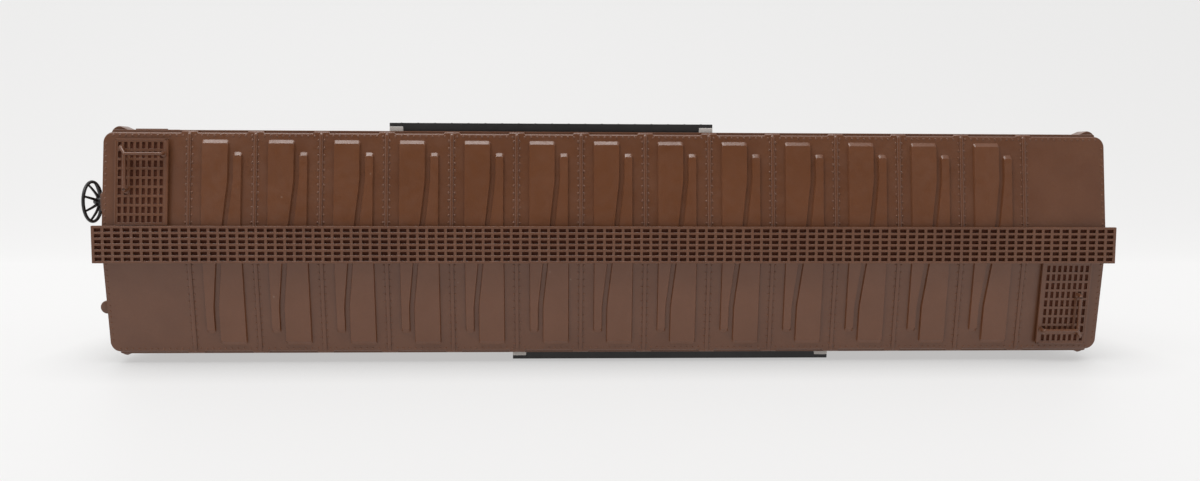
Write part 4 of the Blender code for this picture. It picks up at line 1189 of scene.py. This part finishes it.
def air_pipes():
    """Bent pipes from the valve to the cylinder, to the reservoir, and along the car."""
    radius = 0.18
    to_cylinder = [(-5.6, 7.6, 10.1), (1.0, 7.6, 10.1), (1.0, 9.0, 10.1), (5.8, 9.0, 10.1)]
    to_reservoir = [(7.0, 6.5, 10.0), (7.0, 4.4, 10.4), (12.6, 4.4, 10.4)]
    to_reservoir += [(12.6, -4.4, 10.4), (12.6, -7.8, 9.9), (13.6, -7.8, 9.6)]
    shapes = [tube(bend(path, 0.6), radius) for path in (to_cylinder, to_reservoir)]
    shapes.append(tube([(-50.4, 5.2, 10.55), (50.4, 5.2, 10.55)], radius))
    return merged(*shapes)


for name, shape, nodes in (
    ("brake_cylinder_drum", brake_cylinder(), ["brake_cylinder"]),
    ("air_reservoir_tank", air_reservoir(), ["air_reservoir"]),
    ("control_valve_castings", control_valve(), ["control_valve"]),
    ("brake_levers_and_rods", brake_rigging(), ["brake_rigging"]),
    ("air_pipes", air_pipes(), []),
):
    piece(name, shape, black, stands_for=nodes, angle=34)

# %% [markdown]
# ## Wheels, axles and trucks
#
# A wheel is one profile from its bore to its flange and back. The tyre is bright where it rolls
# and the centre is blackened, so they are two rings that meet on a common circle.


# %% Wheelsets
def wheelset(x):
    """Tyres, centres and the axle between them, all turned about Y and moved to x."""
    back, face, tread, flange, z = 7.25, 10.05, 4.8, 5.4, 5.4
    outer, inner = tread - 0.75, 0.95
    tyre = [(outer, back), (tread, back), (flange - 0.22, back + 0.08), (flange - 0.04, back + 0.22)]
    tyre += [(flange, back + 0.36), (flange - 0.06, back + 0.5), (flange - 0.22, back + 0.62)]
    tyre += [(tread + 0.12, back + 0.74), (tread + 0.04, back + 0.9), (tread - 0.05, face - 0.1)]
    tyre += [(tread - 0.12, face), (outer, face)]
    disc = [(inner, back + 0.05), (outer, back + 0.05), (outer, face - 0.06), (outer - 0.12, face - 0.3)]
    disc += [(outer - 0.35, face - 0.72)]
    disc += [(2.6, face - 0.85), (1.95, face - 0.7), (1.72, face - 0.3)]
    disc += [(1.6, face - 0.05), (inner, face - 0.05)]
    half = [(0.0, 11.75), (0.35, 11.15), (0.7, 10.58), (0.9, 10.4), (0.93, 7.0), (0.8, 6.6), (0.72, 5.0)]
    axle = half + [(r, -y) for r, y in reversed(half)]
    tyre, disc = lathe(tyre, 72, "Y", closed=True), lathe(disc, 56, "Y", closed=True)
    both = [both_corners(shape) for shape in (tyre, disc)]
    return [moved(shape, x, 0, z) for shape in (*both, lathe(axle, 28, "Y"))]


for end, centre in (("a", TRUCK_X), ("b", -TRUCK_X)):
    for number, along in ((1, 9.6), (2, -9.6)):
        tag = f"{end}{number}"
        tyres, discs, axle = wheelset(centre + (along if end == "a" else -along))
        body = "wheelset_" + tag
        wheels = [f"wheel_{tag}_left", f"wheel_{tag}_right"]
        piece(f"wheel_centres_{tag}", discs, wheel_metal, body, wheels, 40)
        piece(f"wheel_tyres_{tag}", tyres, tread_metal, body, angle=40)
        piece(f"pinpoint_axle_{tag}", axle, steel, body, [f"axle_{tag}"])


# %% [markdown]
# The truck frames and couplers have slanted castings that meet at odd angles. For these the
# frame's own mesh is the better start: it is copied, its loose triangles are merged and joined
# into flat faces, and a bevel softens the edges. Springs, lids and bolts are then added.


# %% Castings from the frame's own shapes
def softened(node):
    """A copy of a node's mesh in the car's coordinates, with its triangles joined up."""
    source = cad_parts[node]
    mesh = source.data.copy()
    mesh.transform(source.matrix_world)
    clean = bmesh.new()
    clean.from_mesh(mesh)
    bmesh.ops.remove_doubles(clean, verts=clean.verts, dist=2e-6)
    bmesh.ops.dissolve_limit(clean, angle_limit=math.radians(2), verts=clean.verts, edges=clean.edges)
    bmesh.ops.recalc_face_normals(clean, faces=clean.faces)
    fresh = bpy.data.meshes.new(node + "_casting")
    clean.to_mesh(fresh)
    clean.free()
    return fresh


def spring(x, y, low, high, radius, wire, coils=4):
    """A helix: angle grows evenly with height, with a flattened coil at both ends."""
    t = np.linspace(0, 1, coils * 12 + 1)
    angle = 2 * np.pi * coils * t
    path = np.stack([x + radius * np.cos(angle), y + radius * np.sin(angle), low + (high - low) * t], 1)
    return tube(path, wire, 6)


def truck_details():
    """For one side: three springs, journal lids with their hinges, and bolts, then both sides."""
    face = 12.2
    shapes = [spring(x, face + 0.2, 3.2, 6.4, 0.5, 0.17) for x in (-1.3, 0.0, 1.3)]
    shapes.append(block((-2.3, 2.3), (face - 0.3, face + 0.75), (2.75, 3.15), 0.08, 0.15))
    shapes.append(block((-2.3, 2.3), (face - 0.3, face + 0.75), (6.4, 6.8), 0.08, 0.15))
    for x in (-9.6, 9.6):
        lid = [(x - 0.95, 4.5), (x + 0.95, 4.5), (x + 0.95, 6.5), (x, 6.8), (x - 0.95, 6.5)]
        shapes.append(slab(rounded(lid, 0.3, 4), 12.88, 13.08, 0.07, "Y"))
        shapes.append(tube([(x - 0.5, 12.95, 6.75), (x + 0.5, 12.95, 6.75)], 0.16, 8))
        knob = lathe([(0.0, -0.1), (0.3, 0.0), (0.26, 0.14), (0.0, 0.18)], 16, "Y")
        shapes.append(moved(knob, x, 13.06, 5.5))
    bolt = turned(dome(0.2, 0.14, 6), "X", -90)
    bolt_places = ((7.7, 4.35), (7.7, 7.1), (5.6, 8.0), (3.4, 8.5))
    shapes.append(copies(bolt, [(side * x, face, z) for side in (-1, 1) for x, z in bolt_places]))
    return both_corners(merged(*shapes))


for end, centre in (("a", TRUCK_X), ("b", -TRUCK_X)):
    details = moved(truck_details(), centre)
    for name, node, finish, body, soft in (
        ("truck_casting", "truck_frame", black, "truck", 0.14),
        ("truck_springs_and_lids", None, black, "truck", 0.0),
        ("coupler_casting", "coupler", black, "coupler", 0.12),
        ("knuckle_casting", "knuckle", black, "knuckle", 0.12),
        ("bronze_spring", "centring_spring", bronze, "coupler", 0.03),
    ):
        name, body = f"{name}_{end}", f"{body}_{end}"
        if node is None:
            piece(name, details, finish, body)
        else:
            piece(name, softened(f"{node}_{end}"), finish, body, [f"{node}_{end}"], 30, soft)

# %% [markdown]
# The last small pieces are made from scratch. A coupler's trip pin is a wire that hangs from its
# head, a plate closes each coupler pocket, and slotted screws hold the plates and the trucks.


# %% Coupler pins, covers and screws
def trip_pin():
    """A wire that drops from the head and bends outwards through 75 degrees."""
    x, y, top = 75.6, -1.9, 8.79
    bend_z, radius = 4.25, 1.8
    angle = np.radians(np.linspace(0, 75, 9))
    arc = np.stack([x + radius * (1 - np.cos(angle)), 0 * angle + y, bend_z - radius * np.sin(angle)], 1)
    return tube(np.vstack([[(x, y, top)], arc]), 0.26, 12)


def slotted_screw(head, low, thick, shank, top):
    """Two half discs with a slot between them on a thin disc, and a shank above."""
    angle = np.linspace(0.12, np.pi - 0.12, 18)
    half = np.stack([head * np.cos(angle), head * np.sin(angle)], 1)
    half[[0, -1], 1] = 0.16
    one = slab(half, low, low + 0.6 * thick, 0.07)
    profile = [(0.0, low + 0.5 * thick), (head, low + 0.5 * thick), (head, low + thick)]
    disc = lathe(profile + [(shank, low + thick), (shank, top - 0.2), (0.0, top)], 28)
    return merged(one, turned(one, "Z", 180), disc)


def coupler_cover():
    """The pocket's lid, a plate with round corners and a shallow rim."""
    low, high = box_mm("coupler_cover_a")
    plate = block((low[0], high[0]), (low[1], high[1]), (low[2] + 0.15, high[2]), 0.06, 0.5)
    middle = (low[0] + 0.5, high[0] - 0.5), (low[1] + 0.5, high[1] - 0.5)
    return merged(plate, block(*middle, (low[2], low[2] + 0.3), 0.08, 0.4))


cover_low, _ = box_mm("coupler_cover_a")
screw = moved(slotted_screw(1.2, cover_low[2] - 0.6, 0.55, 0.58, 10.9), 63.45)
king_low, king_high = box_mm("kingpin_screw_a")
king = moved(slotted_screw(2.0, king_low[2], 0.75, 1.0, king_high[2]), TRUCK_X)
for name, shape, finish, node in (
    ("trip_wire", trip_pin(), steel, "trip_pin"),
    ("pocket_lid", coupler_cover(), black, "coupler_cover"),
    ("lid_screw", screw, steel, "coupler_screw"),
    ("truck_screw", king, steel, "kingpin_screw"),
):
    for end, turn in (("a", 0), ("b", 180)):
        body = f"coupler_{end}" if node == "trip_pin" else "car_body"
        piece(f"{name}_{end}", turned(shape, "Z", turn), finish, body, [f"{node}_{end}"], 32)

# %% [markdown]
# ## Table and camera
#
# The car lies on its right side, so that the lens looks straight at its roof. The table is a
# sheet that curves up into a wall. It glows a little, so that it looks evenly white and lights the
# car from below, and the glow is painted darker where the car is close: a painted soft shadow.


# %% Table and camera
TABLE_GREY, TABLE_GLOW_SEEN, TABLE_GLOW_ON_CAR = 0.12, 0.705, 0.88
SHADOW_REACH, SHADOW_DEPTH = 0.014, 0.7
EYE_MM, LENS_MM, SENSOR_MM = (-7.568, 12.285, 143.269), 29.748, 36.0


def sweep():
    """A table the car lies on with its right side down, curving up into a wall behind it.
    The curve is a quarter circle: y = level + R(1 - cos a), z = start - R sin a."""
    level, start, bend_radius = track_side, -90.0, 120.0
    angle = np.linspace(0, 0.5 * np.pi, 17)
    curve = np.stack([level + bend_radius * (1 - np.cos(angle)), start - bend_radius * np.sin(angle)], 1)
    path = np.vstack([[(level, 420.0)], curve, [(900.0, curve[-1, 1])]])
    loops = np.zeros((2, len(path), 3))
    loops[:, :, 0] = np.array([-700.0, 700.0])[:, None]
    loops[:, :, 1:] = path[None]
    count = len(path)
    index = np.arange(count - 1)
    quads = np.stack([index, index + count, index + 1 + count, index + 1], 1)
    return loops.reshape(-1, 3), [quads]


track_side = -upper_high[1] - 0.05
sweep_points, sweep_faces = sweep()
floor_mesh = bpy.data.meshes.new("floor")
floor_mesh.from_pydata((sweep_points * MM).tolist(), [], sweep_faces[0].tolist())
floor_mesh.shade_smooth()
floor = bpy.data.objects.new("floor", floor_mesh)
bpy.context.scene.collection.objects.link(floor)
paper = bpy.data.materials.new("white_table")
paper.use_nodes = True
p = Nodes(paper.node_tree)
surface = paper.node_tree.nodes["Principled BSDF"]
surface.inputs["Base Color"].default_value = (TABLE_GREY, TABLE_GREY, TABLE_GREY, 1)
surface.inputs["Roughness"].default_value = 0.6
surface.inputs["Specular IOR Level"].default_value = 0.2
surface.inputs["Emission Color"].default_value = (1.0, 0.995, 0.99, 1)
# Painted shadow: ambient occlusion near the car turns the table's glow down, which paints a contact shadow.
openness = p.add("ShaderNodeAmbientOcclusion", {"samples": 8, "Distance": SHADOW_REACH}).outputs["AO"]
painted_shadow_share = p.ramp(openness, 0.4, 1.0, SHADOW_DEPTH, 1.0)
seen = p.add("ShaderNodeLightPath").outputs["Is Camera Ray"]
glow = p.ramp(seen, 0.0, 1.0, TABLE_GLOW_ON_CAR, TABLE_GLOW_SEEN)
strength = p.add("ShaderNodeMath", {"operation": "MULTIPLY"})
p.tree.links.new(painted_shadow_share, strength.inputs[0])
p.tree.links.new(glow, strength.inputs[1])
p.tree.links.new(strength.outputs[0], surface.inputs["Emission Strength"])
clear = p.add("ShaderNodeBsdfTransparent")
behind = p.add("ShaderNodeNewGeometry").outputs["Backfacing"]
one_sided = p.add("ShaderNodeMixShader")
p.tree.links.new(behind, one_sided.inputs[0])
p.tree.links.new(surface.outputs[0], one_sided.inputs[1])
p.tree.links.new(clear.outputs[0], one_sided.inputs[2])
p.tree.links.new(one_sided.outputs[0], paper.node_tree.nodes["Material Output"].inputs["Surface"])
floor_mesh.materials.append(paper)

camera_data = bpy.data.cameras.new("camera")
camera = bpy.data.objects.new("camera", camera_data)
bpy.context.scene.collection.objects.link(camera)
bpy.context.scene.camera = camera
across = Vector((0.999238, 0.004212, 0.038795))
upward = Vector((-0.001039, 0.996677, -0.081451))
toward = Vector((-0.039009, 0.081349, 0.995922))
turn = Matrix((across, upward, toward)).transposed()
eye = Vector((EYE_MM[0], EYE_MM[1], EYE_MM[2] + RIDGE_Z)) * MM
camera.matrix_world = Matrix.Translation(eye) @ turn.to_4x4()
camera_data.sensor_width = SENSOR_MM
camera_data.lens = LENS_MM
camera_data.clip_start = 0.01
bpy.context.scene.view_settings.view_transform = "Standard"
print("camera", LENS_MM, "mm lens,", round(EYE_MM[2]), "mm from the ridge; table points", len(sweep_points))

# %% [markdown]
# ## Light
#
# A glossy roof shows what is in front of it. A dark patch of sky round the lens keeps its colour
# deep, while a long soft lamp beyond the upper edge puts a bright line on every pressed ridge.


# %% Light
DARK_TILT, DARK_CORE, DARK_EDGE = math.radians(20), math.radians(18), math.radians(34)
world = bpy.data.worlds.new("studio")
bpy.context.scene.world = world
world.use_nodes = True
w = Nodes(world.node_tree)
background = world.node_tree.nodes["Background"]
direction = w.add("ShaderNodeTexCoord").outputs["Generated"]
squeezed = w.add("ShaderNodeVectorMath", {"operation": "MULTIPLY"}, Vector=direction)
squeezed.inputs[1].default_value = (0.5, 1.0, 1.0)
unit = w.add("ShaderNodeVectorMath", {"operation": "NORMALIZE"}, Vector=squeezed.outputs[0])
nearness = w.add("ShaderNodeVectorMath", {"operation": "DOT_PRODUCT"}, Vector=unit.outputs[0])
nearness.inputs[1].default_value = (0.0, math.sin(DARK_TILT), math.cos(DARK_TILT))
overhead = w.ramp(nearness.outputs["Value"], math.cos(DARK_EDGE), math.cos(DARK_CORE), 0.8, 0.04)
w.tree.links.new(overhead, background.inputs["Strength"])
background.inputs["Color"].default_value = (1.0, 1.0, 1.0, 1)


def soft_light(name, place, aim, size, power):
    """A square area light at a place, turned to face a point."""
    data = bpy.data.lights.new(name, "AREA")
    data.shape = "RECTANGLE"
    data.size, data.size_y = size
    data.energy = power
    lamp = bpy.data.objects.new(name, data)
    lamp.location = Vector(place)
    lamp.rotation_mode = "QUATERNION"
    lamp.rotation_quaternion = (Vector(aim) - Vector(place)).to_track_quat("-Z", "Y")
    bpy.context.scene.collection.objects.link(lamp)


soft_light("softbox", (-0.12, 0.55, 0.20), (-0.02, 0, 0.05), (0.5, 0.22), 2.6)
soft_light("left window", (-0.52, 0.10, 0.55), (0, 0, 0.05), (0.3, 0.3), 0.35)
soft_light("right window", (0.52, 0.10, 0.55), (0, 0, 0.05), (0.3, 0.3), 0.2)
